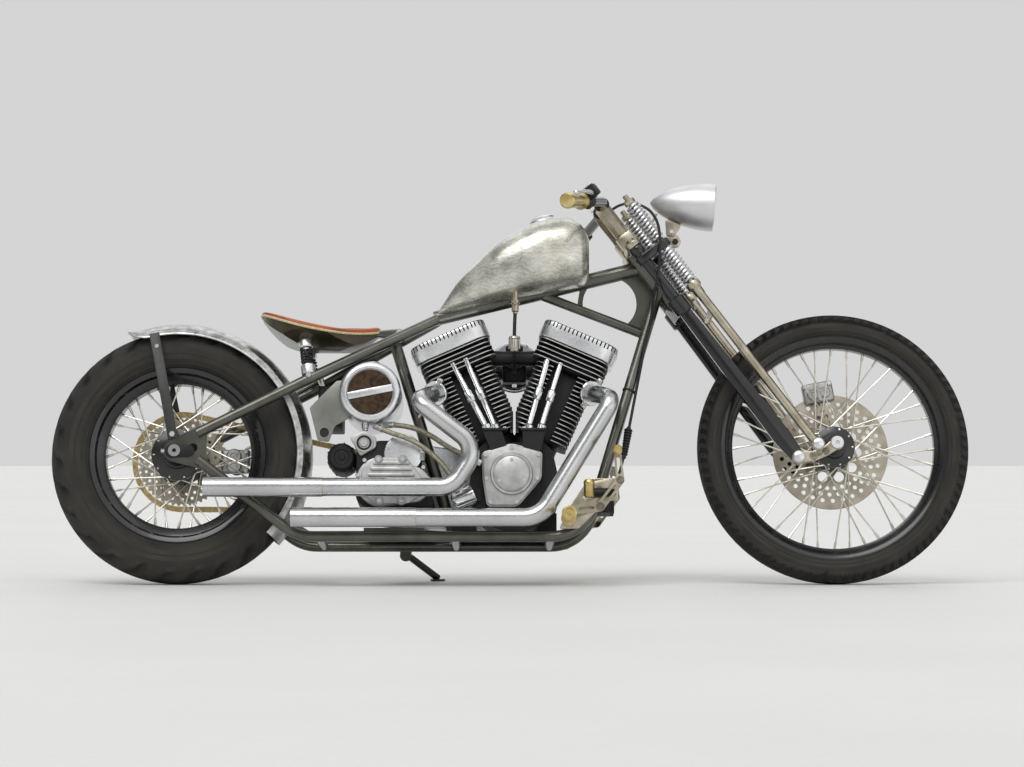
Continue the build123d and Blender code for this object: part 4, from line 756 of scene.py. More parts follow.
# fork: black rigid legs with yoke and posts, nickel spring legs, satin chrome springs, rocker links
forkParts = {"half": 92, "ahead": 59, "riser": 45,
             "blade": ((-16, -12), (16, -12), (23, 62), (15, 482), (-15, 482), (-23, 62)),
             "links": ((0, 0, 17), (59, -3, 16.5), (97, -29, 17.5)),
             "springs": ((512.3, 619.7, 10), (642.3, 761.7, 11))}
legs, ahead = forkParts["half"], forkParts["ahead"]
rigid = bmesh.new()
for side in (1, -1):
    y = side * legs
    outer = 103.7 if side > 0 else -82
    put(rigid, cutPlate(forkParts["blade"], 0, 21.7, 5, 8.5, 4), at(0, outer, 0) @ sideOn)
    put(rigid, rod(17, 22, 32, 2), at(0, y + 12, 0) @ sideOn)
    put(rigid, rod(23, 46, 36, 3), at(0, y, 459))
    put(rigid, rod(15.5, 172, 28), at(0, y, 500))
    put(rigid, lathe([(0, 15.5), (0, 19), (3, 20), (15, 20), (18, 19), (18, 15.5)], 32), at(0, y, 648))
    put(rigid, hullPlate(((0, 0, 21), (ahead, 0, 21)), 620, 642, 3, 3), at(0, y, 0))
    put(rigid, hullPlate(((0, y, 14), (0, 0, 27)), 464, 504, 4, 3))
    for lift in (470, 494):
        put(rigid, bolt(6, 6, 12), at(16, y - side * 23, lift) @ turnBy(90, "Y"))
put(rigid, block(28, 150, 20, 3), at(ahead, 0, 631))
put(rigid, rod(14, 210, 28), at(0, 0, 484))
show("rigid_fork_legs", rigid, blackPaint, ["rigid_fork"], "fork", fork)

sprung = bmesh.new()
for side in (1, -1):
    y = side * legs
    put(sprung, lathe([(4, 0), (4, 9), (7, 11.5), (470, 11.5), (472, 12.8), (490, 13.5), (495, 17), (497, 19),
                       (510, 19), (512, 18), (512, 7), (620, 7), (762, 7), (762, 14), (764, 15), (772, 15),
                       (776, 12), (776, 7), (788, 7), (790, 5), (790, 0)], 32), at(ahead, y, 0))
    put(sprung, rod(15, 19, 28, 2), at(ahead, y + 9.5, -3) @ sideOn)
put(sprung, rod(9, 2 * legs, 24), at(ahead, -legs, 428) @ leftOn)
show("spring_fork_legs", sprung, satinNickel, ["spring_fork"], "fork", fork)

wound = bmesh.new()
for side in (1, -1):
    for low, high, turns in forkParts["springs"]:
        put(wound, coil(15, 4, high - low, turns), at(ahead, side * legs, low))
show("fork_coil_springs", wound, springChrome, ["fork_springs"], "fork", fork)

linkage = bmesh.new()
for side in (1, -1):
    base = at(0, side * 104 if side < 0 else 116, 0) @ sideOn  # local z 0 to 12 is the plate
    for a, b in (((0, 0, 15), (30, -20, 13)), ((30, -20, 13), (62, -29, 12)), ((62, -29, 12), (97, -29, 15)),
                 ((46, -24, 10), (59, -3, 12))):
        put(linkage, hullPlate((a, b), 1, 11, 2.5, 3), base)
    for t, s, r in forkParts["links"]:
        put(linkage, rod(r, 12, 40, 1.6), base @ at(t, s, 0))
        cap = [(0, r - 4), (1.5, r - 3.2), (2.6, r - 4), (4, 9), (4.8, 5), (5, 0)]
        put(linkage, tinted(lathe(cap, 36), 1),
            base @ (at(t, s, 12) if side < 0 else at(t, s, 0) @ turnBy(180, "X")))
show("rocker_links", linkage, [satinNickel, polishedAluminium], ["rockers"], "fork", fork)

crownPlate = bmesh.new()
put(crownPlate, hullPlate(((0, -legs, 22), (0, legs, 22)), 668, 684, 3, 3))
put(crownPlate, hullPlate(((0, 0, 26), (0, 0, 26)), 664, 690, 2))
for side in (1, -1):
    y = side * forkParts["riser"]
    put(crownPlate, block(42, 32, 34, 2, 2), at(0, y, 701))
    put(crownPlate, block(38, 32, 104, 10, 1), at(1.5, y, 764))
    put(crownPlate, tinted(hullPlate(((5, 811, 19), (5, 811, 19)), -16, 16, 2), 1), at(0, y, 0) @ sideOn)
    for t in (-9, 19):
        put(crownPlate, tinted(bolt(5, 5, 12), 2), at(t, y, 826))
    put(crownPlate, bolt(11, 9), at(0, side * legs, 684))
put(crownPlate, bolt(17, 12), at(0, 0, 690))
show("top_tree_risers", crownPlate, [satinNickel, blackCast, polishedAluminium], ["top_tree"], "fork", fork)
print("fork made")

# headlight: spun bullet shell, pressed lens over a silvered bowl, clevis mount with a pin and bolts
lampParts = {"tip": (1187, 974), "drop": 4.6, "length": 164, "radius": 61}
lampPlace = bike @ at(lampParts["tip"][0], 0, lampParts["tip"][1]) @ turnBy(90 + lampParts["drop"], "Y")
deep, wide = lampParts["length"], lampParts["radius"]
bullet = [(deep * k / 24 * 0.93, max(0.0, wide * sin(pi / 2 * (k / 24 * 0.93) ** 0.68))) for k in range(25)]
shell = lathe(bullet + [(deep * 0.985, wide), (deep, wide - 1.5), (deep, wide - 6), (deep * 0.96, wide - 6),
                        (deep * 0.93, wide - 4), (deep * 0.5, wide * 0.7), (deep * 0.4, 0)], 72)
show("headlight_bullet", shell, spunAluminium, ["headlight_shell"], "fork", lampPlace)
glass = lathe([(deep - 5, wide - 6.4), (deep - 3.5, wide - 6.4), (deep - 1.8, wide - 14),
               (deep - 0.6, wide * 0.5), (deep - 0.2, 0), (deep - 3.2, 0), (deep - 3.6, wide * 0.5),
               (deep - 4.8, wide - 14), (deep - 5, wide - 6.4)], 64)
show("headlight_glass", glass, lampGlass, ["headlight_lens"], "fork", lampPlace)
bowl = bmesh.new()
put(bowl, lathe([(deep - 7, wide - 6.4), (deep - 18, wide - 12), (deep - 34, wide * 0.55),
                 (deep - 44, wide * 0.3), (deep - 48, 9), (deep - 48, 0)], 64))
put(bowl, tinted(lathe([(deep - 48, 6), (deep - 26, 6), (deep - 22, 4), (deep - 21, 0)], 20), 1))
show("headlight_bowl", bowl, [lampMirror, lampGlass], ["headlight_lens"], "fork", lampPlace)
yoke = bmesh.new()
put(yoke, cutPlate(((1226, 930), (1266, 914), (1246, 884), (1228, 888)), -13, 13, 5, 2), sideOn)
put(yoke, cutPlate(((1234, 894), (1256, 890), (1266, 872), (1258, 858), (1240, 858), (1230, 872)), -9, 9, 5,
                   2), sideOn)
put(yoke, rod(3, 24, 12), along((1204, 0, 946), (1194, 0, 926)))
for side in (1, -1):
    put(yoke, tinted(bolt(6.5, 5), 1), at(1241, side * 13, 896) @ outward[side])
    put(yoke, tinted(bolt(8, 9), 2), at(1250, side * 9, 871) @ outward[side])
show("headlight_mount", yoke, [satinNickel, polishedAluminium, blackRubberAndSlotShade], ["headlight_bracket"], "fork")
print("headlight made")

# bar ends: waisted brass grips, clamp perches with lever blades and a reservoir on the right
bars = {"end": (-107, 384, 819), "knee": (5, 92, 811), "grip": 128,
        "profile": ((0, 12.9), (0, 20), (2, 21.5), (8, 22), (13, 20.5), (17, 17.5), (22, 16), (40, 16.6),
                    (70, 17.6), (92, 16.8), (106, 16), (111, 17.6), (115, 19.6), (120, 20), (125, 18.8),
                    (127.5, 16), (128, 10), (128, 0))}
brassGrips, perches = bmesh.new(), bmesh.new()
for side in (1, -1):
    end = Vector((bars["end"][0], side * bars["end"][1], bars["end"][2]))
    out = (end - Vector((bars["knee"][0], side * bars["knee"][1], bars["knee"][2]))).normalized()
    put(brassGrips, lathe(bars["profile"], 40), along(end - out * bars["grip"], end))
    place = basis(end - out * (bars["grip"] + 21), end, (0, 0, 1)) @ turnBy(180 if side > 0 else 0, "Z")
    # local -y points ahead of the bar, z outward along it
    put(perches, rod(17, 30, 32, 2), place @ at(0, 0, -15))
    put(perches, block(22, 30, 24, 4, 3), place @ at(0, -20, 0))
    put(perches, block(14, 12, 28, 3, 3), place @ at(-16 if side < 0 else 16, 0, 0))
    put(perches, tinted(tubeAlong([(0, -28, 4), (0, -36, 30), (0, -37, 80), (0, -35, 120), (0, -31, 150)],
                                  4.6, sides=4), 1), place)
    put(perches, tinted(tubeAlong([(0, -28, 4), (0, -35, 26), (0, -36, 60)], 5.6, sides=4), 1), place)
    ball = bmesh.new()
    bmesh.ops.create_uvsphere(ball, u_segments=20, v_segments=12, radius=7.5)
    put(perches, tinted(ball, 1), place @ at(0, -31, 152))
    put(perches, tinted(bolt(6, 5, 12), 1), place @ at(0, -28, 4) @ turnBy(90 if side < 0 else -90, "Y")
        @ at(0, 0, 9))
    for z in (-9, 9):
        put(perches, tinted(bolt(3.6, 4, 12), 1), place @ at(0, 12, z) @ leftOn @ at(0, 0, 4))
    put(perches, rod(15.5, 34, 28, 2), place @ at(0, 0, -58))  # switch housing inboard of the perch
    put(perches, block(10, 14, 18, 2), place @ at(0, 16, -41))
    put(perches, tinted(rod(3.2, 5, 12), 1), place @ at(0, 22, -41) @ leftOn)
    if side < 0:
        put(perches, block(26, 30, 44, 4, 3), place @ at(8, -27, -12))
        put(perches, tinted(block(3, 32, 46, 1.2), 1), place @ at(22, -27, -12))
show("brass_grips", brassGrips, turnedBrass, ["grips"], "fork", fork)
show("control_perches", perches, [blackCast, polishedAluminium], ["levers"], "fork", fork)
print("bar controls made")

# rear fender: sheet channel with rolled edges, two flat struts with bolts
fender = {"radius": 336, "half": 74, "from": -41, "to": 112.5, "sheet": 2.2}
arc, half = fender["radius"], fender["half"]
crown = [(half * k / 8, arc - 20 * abs(k / 8) ** 2.4) for k in range(-8, 9)]
outer = [(-half, arc - 33), (-half, arc - 26)] + crown + [(half, arc - 26), (half, arc - 33)]
inner = [(y * (half - fender["sheet"]) / half, r - (fender["sheet"] if abs(y) < half - 1 else 0))
         for y, r in reversed(outer)]
sweep = fender["to"] - fender["from"]
sheet = lathe(outer + inner, 90, True, sweep)
bmesh.ops.holes_fill(sheet, edges=[e for e in sheet.edges if e.is_boundary], sides=0)
channel = bmesh.new()
put(channel, sheet)
bead = [(3.0 * cos(radians(a)), 3.0 * sin(radians(a))) for a in range(0, 360, 45)]
for side in (1, -1):
    put(channel, lathe([(side * (half - 1.2) + y, arc - 33 + r) for y, r in bead], 90, True, sweep))
for v in channel.verts:  # the tail flares outward and its skirt is rounded off
    tail = (degrees(atan2(v.co.y, v.co.x)) - sweep + 9) / 9
    if tail > 0:
        r = v.co.xy.length
        v.co.xy *= (r + tail ** 2 * (5 + (arc - r) * 0.55)) / r
show("fender_sheet", channel, rawAluminium, ["rear_fender"],
     place=rearAxle @ sideOn @ turnBy(fender["from"], "Z"))
struts = bmesh.new()
for side in (1, -1):
    low, high = Vector((-4, side * 119, 350.8)), Vector((-60, side * 76, 624))
    put(struts, block(25, 5, span(low, high), 1.2),
        basis(low, high, (1, 0, 0)) @ at(0, 0, span(low, high) / 2))
    put(struts, tinted(bolt(8, 7), 1), at(-6, side * 121, 362) @ outward[side])
    put(struts, tinted(bolt(6, 5), 1), at(-52, side * 82, 590) @ outward[side])
show("fender_struts", struts, [strutPaint, polishedAluminium], ["rear_fender"])
print("fender made")

# seat: leather pad with a soft crown and piping, coil mounts and a nose hinge
seat = {"circles": ((322, 0, 118), (478, 0, 26)), "top": ((200, 699), (330, 650), (508, 655)), "thick": 16}


def seatLine(x):  # parabola through the three points of the seat's top line
    total = 0
    for xi, zi in seat["top"]:
        share = zi
        for xj, _ in seat["top"]:
            if xj != xi:
                share *= (x - xj) / (xi - xj)
        total += share
    return total


pad = bmesh.new()
rings, edgeLine = [], []
# rings shrink towards the seat's spine and rise to the crown; the first one is the hidden underside
for share, rise in ((0.9, -15), (0.97, -14.5), (1.0, -11), (1.0, -6), (0.985, -3), (0.95, -1), (0.88, 1.2),
                    (0.74, 3.2), (0.55, 4.4), (0.3, 5), (0.1, 5.2)):
    ring = bmesh.ops.create_circle(pad, segments=80, radius=1.0)["verts"]
    for v in ring:
        n = Vector((v.co.x, v.co.y))
        x, y, r = farthest(seat["circles"], n)
        v.co = (x + n.x * r * share, y + n.y * r * share, rise)
        if rise == -11:
            edgeLine.append(v.co.copy())
    rings.append(ring)
bridgeRings(pad, rings)
bmesh.ops.subdivide_edges(pad, edges=[e for e in pad.edges if e.calc_length() > 40], cuts=9,
                          use_grid_fill=True)
closeHoles(pad)
for v in pad.verts:
    v.co.z += seatLine(v.co.x) - 5
cushion = show("seat_leather", pad, saddleLeather, ["seat_pad"], smooth=80)
plump = cushion.modifiers.new("plump", "SUBSURF")
plump.levels = plump.render_levels = 1
trims = bmesh.new()
outline = []
for p, q in zip(edgeLine, edgeLine[1:] + edgeLine[:1]):
    pieces = max(1, round((q - p).length / 14))
    outline += [p.lerp(q, k / pieces) for k in range(pieces)]
put(trims, tubeAlong([(p.x, p.y, seatLine(p.x) - seat["thick"] - 2) for p in outline], 3.2, True))
show("seat_piping", trims, creamPiping, ["seat_pad"])
mounts = bmesh.new()
for side in (1, -1):
    foot, head = Vector((330, side * 100, 512)), Vector((318, side * 76, 612))
    run = span(foot, head)
    place = along(foot, head)
    put(mounts, lathe([(0, 0), (0, 12), (3, 17), (8, 18), (26, 18), (29, 16), (30, 9), (run - 30, 9),
                       (run - 29, 16), (run - 26, 18), (run - 12, 18), (run - 6, 15), (run, 9), (run, 0)],
                      36), place)
    put(mounts, tinted(coil(14, 2.6, run - 58, 5), 1), place @ at(0, 0, 29))
    put(mounts, bolt(8, 8), at(foot.x, foot.y + side * 14, foot.z) @ outward[side])
put(mounts, rod(9, 48, 28), at(552, 24, 633.6) @ sideOn)
put(mounts, tinted(hullPlate(((550, 633.6, 13), (478, 634, 6)), -17, 17, 2), 2), sideOn)
for y in (24, -24):
    put(mounts, bolt(8, 6), at(552, y, 633.6) @ turnBy(-90 if y > 0 else 90, "X"))
show("seat_mount_springs", mounts, [polishedAluminium, blackRubberAndSlotShade, framePaint], ["seat_mounts"])
print("seat made")

# fuel tank: teardrop lofted through stations of x, low, top, half width
tank = {"stations": ((650, 681, 692, 18), (700, 690, 772, 60), (800, 710, 869, 96), (900, 730, 925, 108),
                     (985, 746, 938, 104), (1020, 753, 906, 90), (1030, 769, 878, 70)),
        "cap": (915, 930, -14)}


def station(x):
    for a, b in zip(tank["stations"], tank["stations"][1:]):
        if a[0] <= x <= b[0]:
            share = (x - a[0]) / (b[0] - a[0])
            return [p + (q - p) * share for p, q in zip(a[1:], b[1:])]


skin = bmesh.new()
stops = [650 + 380 * (k / 40) for k in range(39)] + [1014, 1020, 1025, 1030]
rings = []
for x in stops:
    low, high, half = station(x)
    made = bmesh.ops.create_circle(skin, segments=48, radius=1.0,
                                   matrix=at(x, 0, 0) @ turnBy(90, "Y"))["verts"]
    for v in made:
        u, w = v.co.y, v.co.z
        v.co.y = abs(u) ** 0.8 * half * (1 if u > 0 else -1)
        bulge = abs(w) ** (0.8 if w > 0 else 0.55) * (1 if w > 0 else -1)
        v.co.z = (low + high) / 2 + bulge * (high - low) / 2
    rings.append(made)
bridgeRings(skin, rings)
closeHoles(skin)
for k in range(6):
    bmesh.ops.smooth_vert(skin, verts=[v for v in skin.verts if 655 < v.co.x < 1029], factor=0.5,
                          use_axis_x=False, use_axis_y=True, use_axis_z=True)
soften(skin, 4, 3, 50)
bmesh.ops.recalc_face_normals(skin, faces=skin.faces)
show("tank_skin", skin, tankSteel, ["fuel_tank"], smooth=60)
fill = bmesh.new()
x, z, tilt = tank["cap"]
put(fill, lathe([(0, 0), (0, 30), (2, 31), (9, 31), (11, 29), (13, 24), (14, 12), (14, 0)], 48),
    at(x, 0, z - 6) @ turnBy(tilt, "Y"))
put(fill, lathe([(0, 33), (0, 37), (4, 36), (7, 33)], 48), at(x, 0, z - 9) @ turnBy(tilt, "Y"))
show("filler_cap", fill, polishedAluminium, ["fuel_tank"])
print("tank made")

# engine: finned cylinders, rocker covers, pushrod tubes, lifter blocks, cam cover with screws
engine = {"crank": (842, 233), "bank": 23.5, "deck": 138, "fins": 21, "pitch": 11.5, "fin": 3.2, "barrel": 77,
          "head": 92, "headFins": 5, "slope": 0.4348, "notch": (-31, 34, 28), "corner": 26,
          "cover": (379.5, 427.5), "slots": (13, 9), "slotPitch": 10.8, "slotHeight": 421}


def bank(hand):  # local z runs up the cylinder, local x away from the other one
    c, s = cos(radians(engine["bank"])), sin(radians(engine["bank"]))
    turn = Matrix(((hand * c, 0, hand * s), (0, hand, 0), (-s, 0, c))).to_4x4()
    return at(engine["crank"][0], 0, engine["crank"][1]) @ turn


finned, covers, tubes = bmesh.new(), bmesh.new(), bmesh.new()
for hand in (1, -1):
    put(finned, block(112, 112, 200, 20, 4), bank(hand) @ at(4, 0, 230))
    put(finned, block(136, 150, 56, 14, 3), bank(hand) @ at(2, 0, 350))
    for k in range(engine["fins"]):
        z = engine["deck"] + engine["pitch"] * (k + 0.6)
        head = k >= engine["fins"] - engine["headFins"]
        outer = engine["head"] if head else engine["barrel"]
        inner = min(outer, z * engine["slope"] - 3)
        side = outer * hand
        if head:
            points = [(-inner, -side), (outer, -side), (outer, side), (-inner, side)]
        else:
            near, far, deep = engine["notch"]  # clears the pushrod tubes
            points = [(-inner, -side), (near, -side), (near, -side + deep * hand), (far, -side + deep * hand),
                      (far, -side), (outer, -side), (outer, side), (-inner, side)]
        fin = bmesh.new()
        corners = [fin.verts.new((x, y, 0)) for x, y in points]
        fin.faces.new(corners)
        roundCorners(fin, [v for v in corners if abs(v.co.x) > 35 or head], engine["corner"], 6)
        thicken(fin, z, z + engine["fin"])
        for f in fin.faces:  # the bare edges that face sideways
            edge = abs(f.normal.z) < 0.5 and abs(f.calc_center_median().y) > outer * 0.5
            f.material_index = 1 if edge else 0
        put(finned, soften(fin, 0.5, 1), bank(hand))
    # rocker cover: plain polished sides, a row of narrow slots round the top edge; the slots' cut walls are
    # painted black as painted shade
    cover = cutPlate(((-100, -84), (100, -84), (100, 84), (-100, 84)), *engine["cover"], 38, 6, 4)
    slots = bmesh.new()
    (onSide, onEnd), pace, z = engine["slots"], engine["slotPitch"], engine["slotHeight"]
    for side in (1, -1):
        for k in range(onSide):
            put(slots, block(3.4, 12, 17, 0), at((k - onSide // 2) * pace, side * 83, z))
        for k in range(onEnd):
            put(slots, block(12, 3.4, 17, 0), at(side * 99, (k - onEnd // 2) * pace, z))
    for x, y, start in ((62, 46, 0), (-62, 46, 90), (-62, -46, 180), (62, -46, 270)):
        for k in range(1, 5):
            put(slots, block(12, 3.4, 17, 0), at(x, y, z) @ turnBy(start + k * 18, "Z") @ at(36.5, 0, 0))
    # the cutters are tinted so that the slot walls they leave take the black rubber finish: painted shade
    # inside the slots
    put(covers, carve(cover, tinted(slots, 1)), bank(hand))
    for x in (-60, 0, 60):
        put(covers, bolt(5, 5, 12), bank(hand) @ at(x, 0, 427))
for foot, head in (((774, -106, 377), (690, -84, 540)), ((796, -106, 377), (722, -84, 552)),
                   ((876, -106, 377), (924, -84, 552)), ((908, -106, 377), (956, -84, 540))):
    n = span(foot, head)
    put(tubes, lathe([(-4, 0), (-4, 11), (9, 11.5), (12, 9), (14, 8), (n * 0.42, 8), (n * 0.43, 10),
                      (n * 0.46, 11), (n * 0.58, 11), (n * 0.6, 9), (n * 0.62, 7.6), (n + 6, 7.6),
                      (n + 6, 0)], 28), along(foot, head))
for points in (((760, 377), (808, 377), (824, 330), (784, 322)),
               ((862, 377), (920, 377), (908, 322), (864, 322))):
    put(tubes, tinted(cutPlate(points, 80, 120, 5, 2), 1), sideOn)
    cx = sum(p[0] for p in points) / 4
    put(tubes, tinted(block(62, 44, 7, 2), 1), at(cx, -104, 374))
    for x in (-24, 24):
        put(tubes, bolt(4.5, 5, 12), at(cx + x, -112, 377))
show("finned_cylinders", finned, [blackCast, castAluminium], ["cylinders"])
# the second finish blackens the rocker cover slot walls as painted shade
show("rocker_covers", covers, [polishedAluminium, blackRubberAndSlotShade], ["rocker_boxes"])
show("pushrod_covers", tubes, [chromePlate, blackCast], ["pushrod_tubes"])

camChest = {"outline": ((835, 340), (912, 319), (909, 250), (850, 181), (774, 181), (763, 250), (760, 317)),
            "points": (835, 262), "mid": (835, 260)}


def chestLine(share):  # the cover's outline drawn in towards its middle
    x, z = camChest["mid"]
    return [(x + (px - x) * share, z + (pz - z) * share) for px, pz in camChest["outline"]]


chest = bmesh.new()
put(chest, cutPlate(camChest["outline"], 92, 118, 10, 1.5), sideOn)
put(chest, cutPlate(chestLine(0.96), 117, 126, 10, 2.2, 3), sideOn)
x, z = camChest["points"]
put(chest, lathe([(0, 53), (5, 53), (7, 51), (7, 46), (6, 45), (6, 43), (9.5, 43), (10.5, 41), (10.5, 0)],
                 72), at(x, -126, z) @ sideOn)
for px, pz in chestLine(0.86):
    put(chest, tinted(bolt(5, 4, 12), 1), at(px, -126, pz) @ sideOn)
for a in (90, 210, 330):
    put(chest, tinted(bolt(4, 2.5, 12), 1), at(x + 35 * cos(radians(a)), -136, z + 35 * sin(radians(a)))
        @ sideOn)
show("cam_chest_cover", chest, [castAluminium, polishedAluminium], ["cam_cover"])
print("engine made")

# intake between the cylinders, carburettor and round air cleaner on the left
intake = {"mid": (842, 66, 572), "manifold": ((780, 0, 572), (904, 0, 572)), "cleaner": (112, 158),
          "screws": 5}
x, y, z = intake["mid"]
breath = bmesh.new()
put(breath, lathe([(0, 21), (0, 27), (6, 27), (8, 20), (62, 17), (116, 20), (118, 27), (124, 27), (124, 21)],
                  36), along(*intake["manifold"]))
put(breath, rod(24, 118, 36, 2), at(x, 110, z) @ sideOn)
put(breath, block(60, 44, 58, 6, 3), at(x, y, z - 24))
put(breath, block(44, 40, 24, 5, 3), at(x, y, z + 30))
put(breath, tinted(bolt(6, 8), 1), at(x, y, z - 54) @ turnBy(180, "X"))
near, far = intake["cleaner"]
put(breath, tinted(lathe([(0, 0), (0, 58), (3, 62), (6, 64), (9, 64), (11, 61), (35, 61), (37, 64), (40, 64),
                          (44, 62), (46, 56), (46, 46), (44.5, 44), (44.5, 10), (46, 8), (46, 0)], 72), 2),
    at(x, near, z) @ leftOn)
ringOf(breath, tinted(bolt(4, 3, 12), 1), intake["screws"], at(x, far, z) @ leftOn, at(50, 0, -1))
show("intake_breather", breath, [blackCast, polishedAluminium, chromePlate], ["intake"])

# fuel tap, ribbed filter and its hoses
fuelLine = {"tap": (844, -62, 676), "filter": (842, -62), "ribs": 14,
            "hoses": (((844, -62, 680), (842, -66, 640), (842, -62, 616)),
                      ((842, -62, 582), (842, -50, 552), (842, -4, 536)))}
x, y = fuelLine["filter"]
supply = bmesh.new()
put(supply, lathe([(0, 0), (0, 6), (4, 6), (6, 9), (24, 9), (26, 12), (34, 12), (36, 8), (64, 8), (64, 0)],
                  24), at(*fuelLine["tap"]))
put(supply, rod(5, 26, 16), at(*fuelLine["tap"]) @ at(0, 0, 24) @ sideOn)
put(supply, lathe([(578, 0), (578, 9), (580, 14), (585, 15), (587, 12), (610, 12), (612, 15), (617, 14),
                   (620, 8), (620, 0)], 28), at(x, y, 0))
ringOf(supply, tinted(block(2.4, 2.2, 24, 0.5, 1), 2), fuelLine["ribs"], at(x, y, 598.5), at(13.6, 0, 0))
for route in fuelLine["hoses"]:
    put(supply, tinted(tubeAlong(route, 4.5), 1))
show("fuel_tap_filter", supply, [satinNickel, blackRubberAndSlotShade, polishedAluminium], ["fuel_fittings"])
print("intake made")

# gearbox: dark case, polished round top cover, ribbed end cover with bolts, five-sided cap with a nut
gearbox = {"case": ((448, 205), (468, 186), (646, 186), (626, 250), (598, 338), (584, 352), (500, 352),
                    (448, 326)), "cover": ((510, 247, 62), (588, 240, 46)), "cap": (468, 345),
           "dome": (566, 317, 49), "capOutline": ((0, 31), (31, 14), (30, -11), (-9, -34), (-36, 14)),
           "bolts": ((505, 300), (565, 300), (508, 197), (562, 197))}
box = bmesh.new()
put(box, tinted(cutPlate(gearbox["case"], 0, 150, 8, 5, 3), 2), at(0, 70, 0) @ sideOn)
x, z, r = gearbox["dome"]
put(box, tinted(lathe([(60, r), (90, r), (94, r - 2), (95, r - 6), (95, 0)], 64), 1), at(x, 0, z) @ sideOn)
put(box, block(14, 24, 24, 3), at(x + 47, -84, z - 6))
put(box, hullPlate(gearbox["cover"], 80, 98, 4, 3, 64), sideOn)
put(box, cutPlate(((496, 306), (574, 306), (612, 258), (612, 214), (580, 190), (494, 190), (464, 220),
                   (462, 268)), 97, 106, 8, 2.5, 3), sideOn)
for z, reach in ((292, 92), (277, 104), (262, 116), (246, 122), (230, 122)):
    put(box, block(reach, 8, 9, 2.5), at(537, -106, z))
for x, z in gearbox["bolts"]:
    put(box, rod(11, 7, 24, 1.5), at(x, -104, z) @ sideOn)
    put(box, tinted(bolt(7, 6), 1), at(x, -110, z) @ sideOn)
for x, z in ((470, 300), (452, 262), (616, 282), (628, 254)):
    put(box, tinted(bolt(5, 4, 12), 1), at(x, -98, z) @ sideOn)
x, z = gearbox["cap"]
put(box, cutPlate([(x + px, z + pz) for px, pz in gearbox["capOutline"]], 76, 88, 6, 1.5), sideOn)
put(box, tinted(lathe([(0, 20), (3, 20), (3, 14), (0, 14)], 40), 2), at(x, -86.5, z) @ sideOn)
put(box, lathe([(0, 24), (2.5, 23), (2.5, 19), (0, 19)], 40), at(x, -87.5, z) @ sideOn)
put(box, tinted(bolt(12, 9), 1), at(x, -87, z) @ sideOn)
show("gearbox_case", box, [castAluminium, polishedAluminium, blackCast], ["transmission"])

# starter motor behind the gearbox
starter = {"axis": (411, 0, 313), "ribs": 9, "bolts": (40, 220)}
motor = bmesh.new()
turnedOn = at(*starter["axis"]) @ sideOn
put(motor, lathe([(-64, 0), (-64, 30), (-60, 35), (-54, 36), (52, 36), (58, 34), (62, 28), (62, 20), (60, 18),
                  (60, 8), (62, 7), (62, 0)], 48), turnedOn)
# cooling ribs round the housing
ringOf(motor, block(108, 4, 3, 0.8, 1), starter["ribs"], turnedOn, at(36.5, 0, 0) @ turnBy(90, "Y"))
for a in starter["bolts"]:
    put(motor, bolt(4.5, 4), turnedOn @ at(26 * cos(radians(a)), 26 * sin(radians(a)), 60))
show("starter_motor", motor, blackCast, ["starter"])
print("gearbox made")

# exhaust trim: chrome rings round the ports, thin darker rings at the seams of the end sleeves whose darker
# colour is painted shade of the seams' step, small clamp bolts
exhaustTrim = {"ports": (((652, -62, 476), (600, -168, 440)), ((1026, -62, 476), (1086, -168, 444))),
               "y": -168, "seams": ((370, 224), (600, 149)), "clamps": ((613, 408, 210), (730, 286, 135))}
trim = bmesh.new()
for start, bend in exhaustTrim["ports"]:
    port = along(start, bend)
    put(trim, lathe([(14, 22.8), (14, 31), (16, 32), (20, 32), (22, 30), (22, 22.8)], 48, True), port)
    for a in (60, 240):
        put(trim, tinted(bolt(6, 10), 1), port @ turnBy(a, "Z") @ at(33, 0, 14))
        put(trim, block(18, 16, 6, 2), port @ turnBy(a, "Z") @ at(34, 0, 18))
# the seam rings take the darker disc steel: painted shade where each sleeve steps onto the pipe
for x, z in exhaustTrim["seams"]:
    put(trim, tinted(lathe([(0, 22.2), (0, 23.1), (1.8, 23.1), (1.8, 22.2)], 64, True), 1),
        at(x, exhaustTrim["y"], z) @ turnBy(90, "Y"))
for x, z, turn in exhaustTrim["clamps"]:
    put(trim, tinted(bolt(4.5, 14), 1), at(x, exhaustTrim["y"], z) @ turnBy(turn, "Y"))
show("exhaust_trim", trim, [chromePlate, discSteel])

# primary drive cover on the left: stepped oval with two round inspection covers
primaryParts = {"rounds": ((842, 233, 102), (560, 262, 114)), "screws": 14, "clutchScrews": 6}


def inset(step):  # the cover's two rounds, made smaller by step
    return [(x, z, r - step) for x, z, r in primaryParts["rounds"]]


primary = bmesh.new()
put(primary, hullPlate(inset(0), 0, 50, 8, 4, 80), at(0, 150, 0) @ sideOn)
put(primary, hullPlate(inset(14), 0, 14, 6, 4, 80), at(0, 162, 0) @ sideOn)
(crankX, crankZ, _), (clutchX, clutchZ, _) = primaryParts["rounds"]
put(primary, lathe([(0, 74), (6, 74), (9, 70), (10, 62), (8, 60), (8, 40), (9, 38), (9, 0)], 64),
    at(clutchX, 160, clutchZ) @ leftOn)
put(primary, lathe([(0, 40), (5, 40), (8, 36), (8, 0)], 48), at(crankX, 160, crankZ) @ leftOn)
ringOf(primary, tinted(bolt(5, 4, 12), 1), primaryParts["clutchScrews"], at(clutchX, 168, clutchZ) @ leftOn,
       at(66, 0, 1))
for k in range(primaryParts["screws"]):
    n = ray(radians(k * 360 / primaryParts["screws"] + 8))
    x, z, r = farthest(inset(7), n)
    put(primary, tinted(bolt(5, 6, 12), 1), at(x + n.x * r, 149, z + n.y * r) @ leftOn)
show("primary_drive_cover", primary, [polishedAluminium, castAluminium], ["primary_cover"])

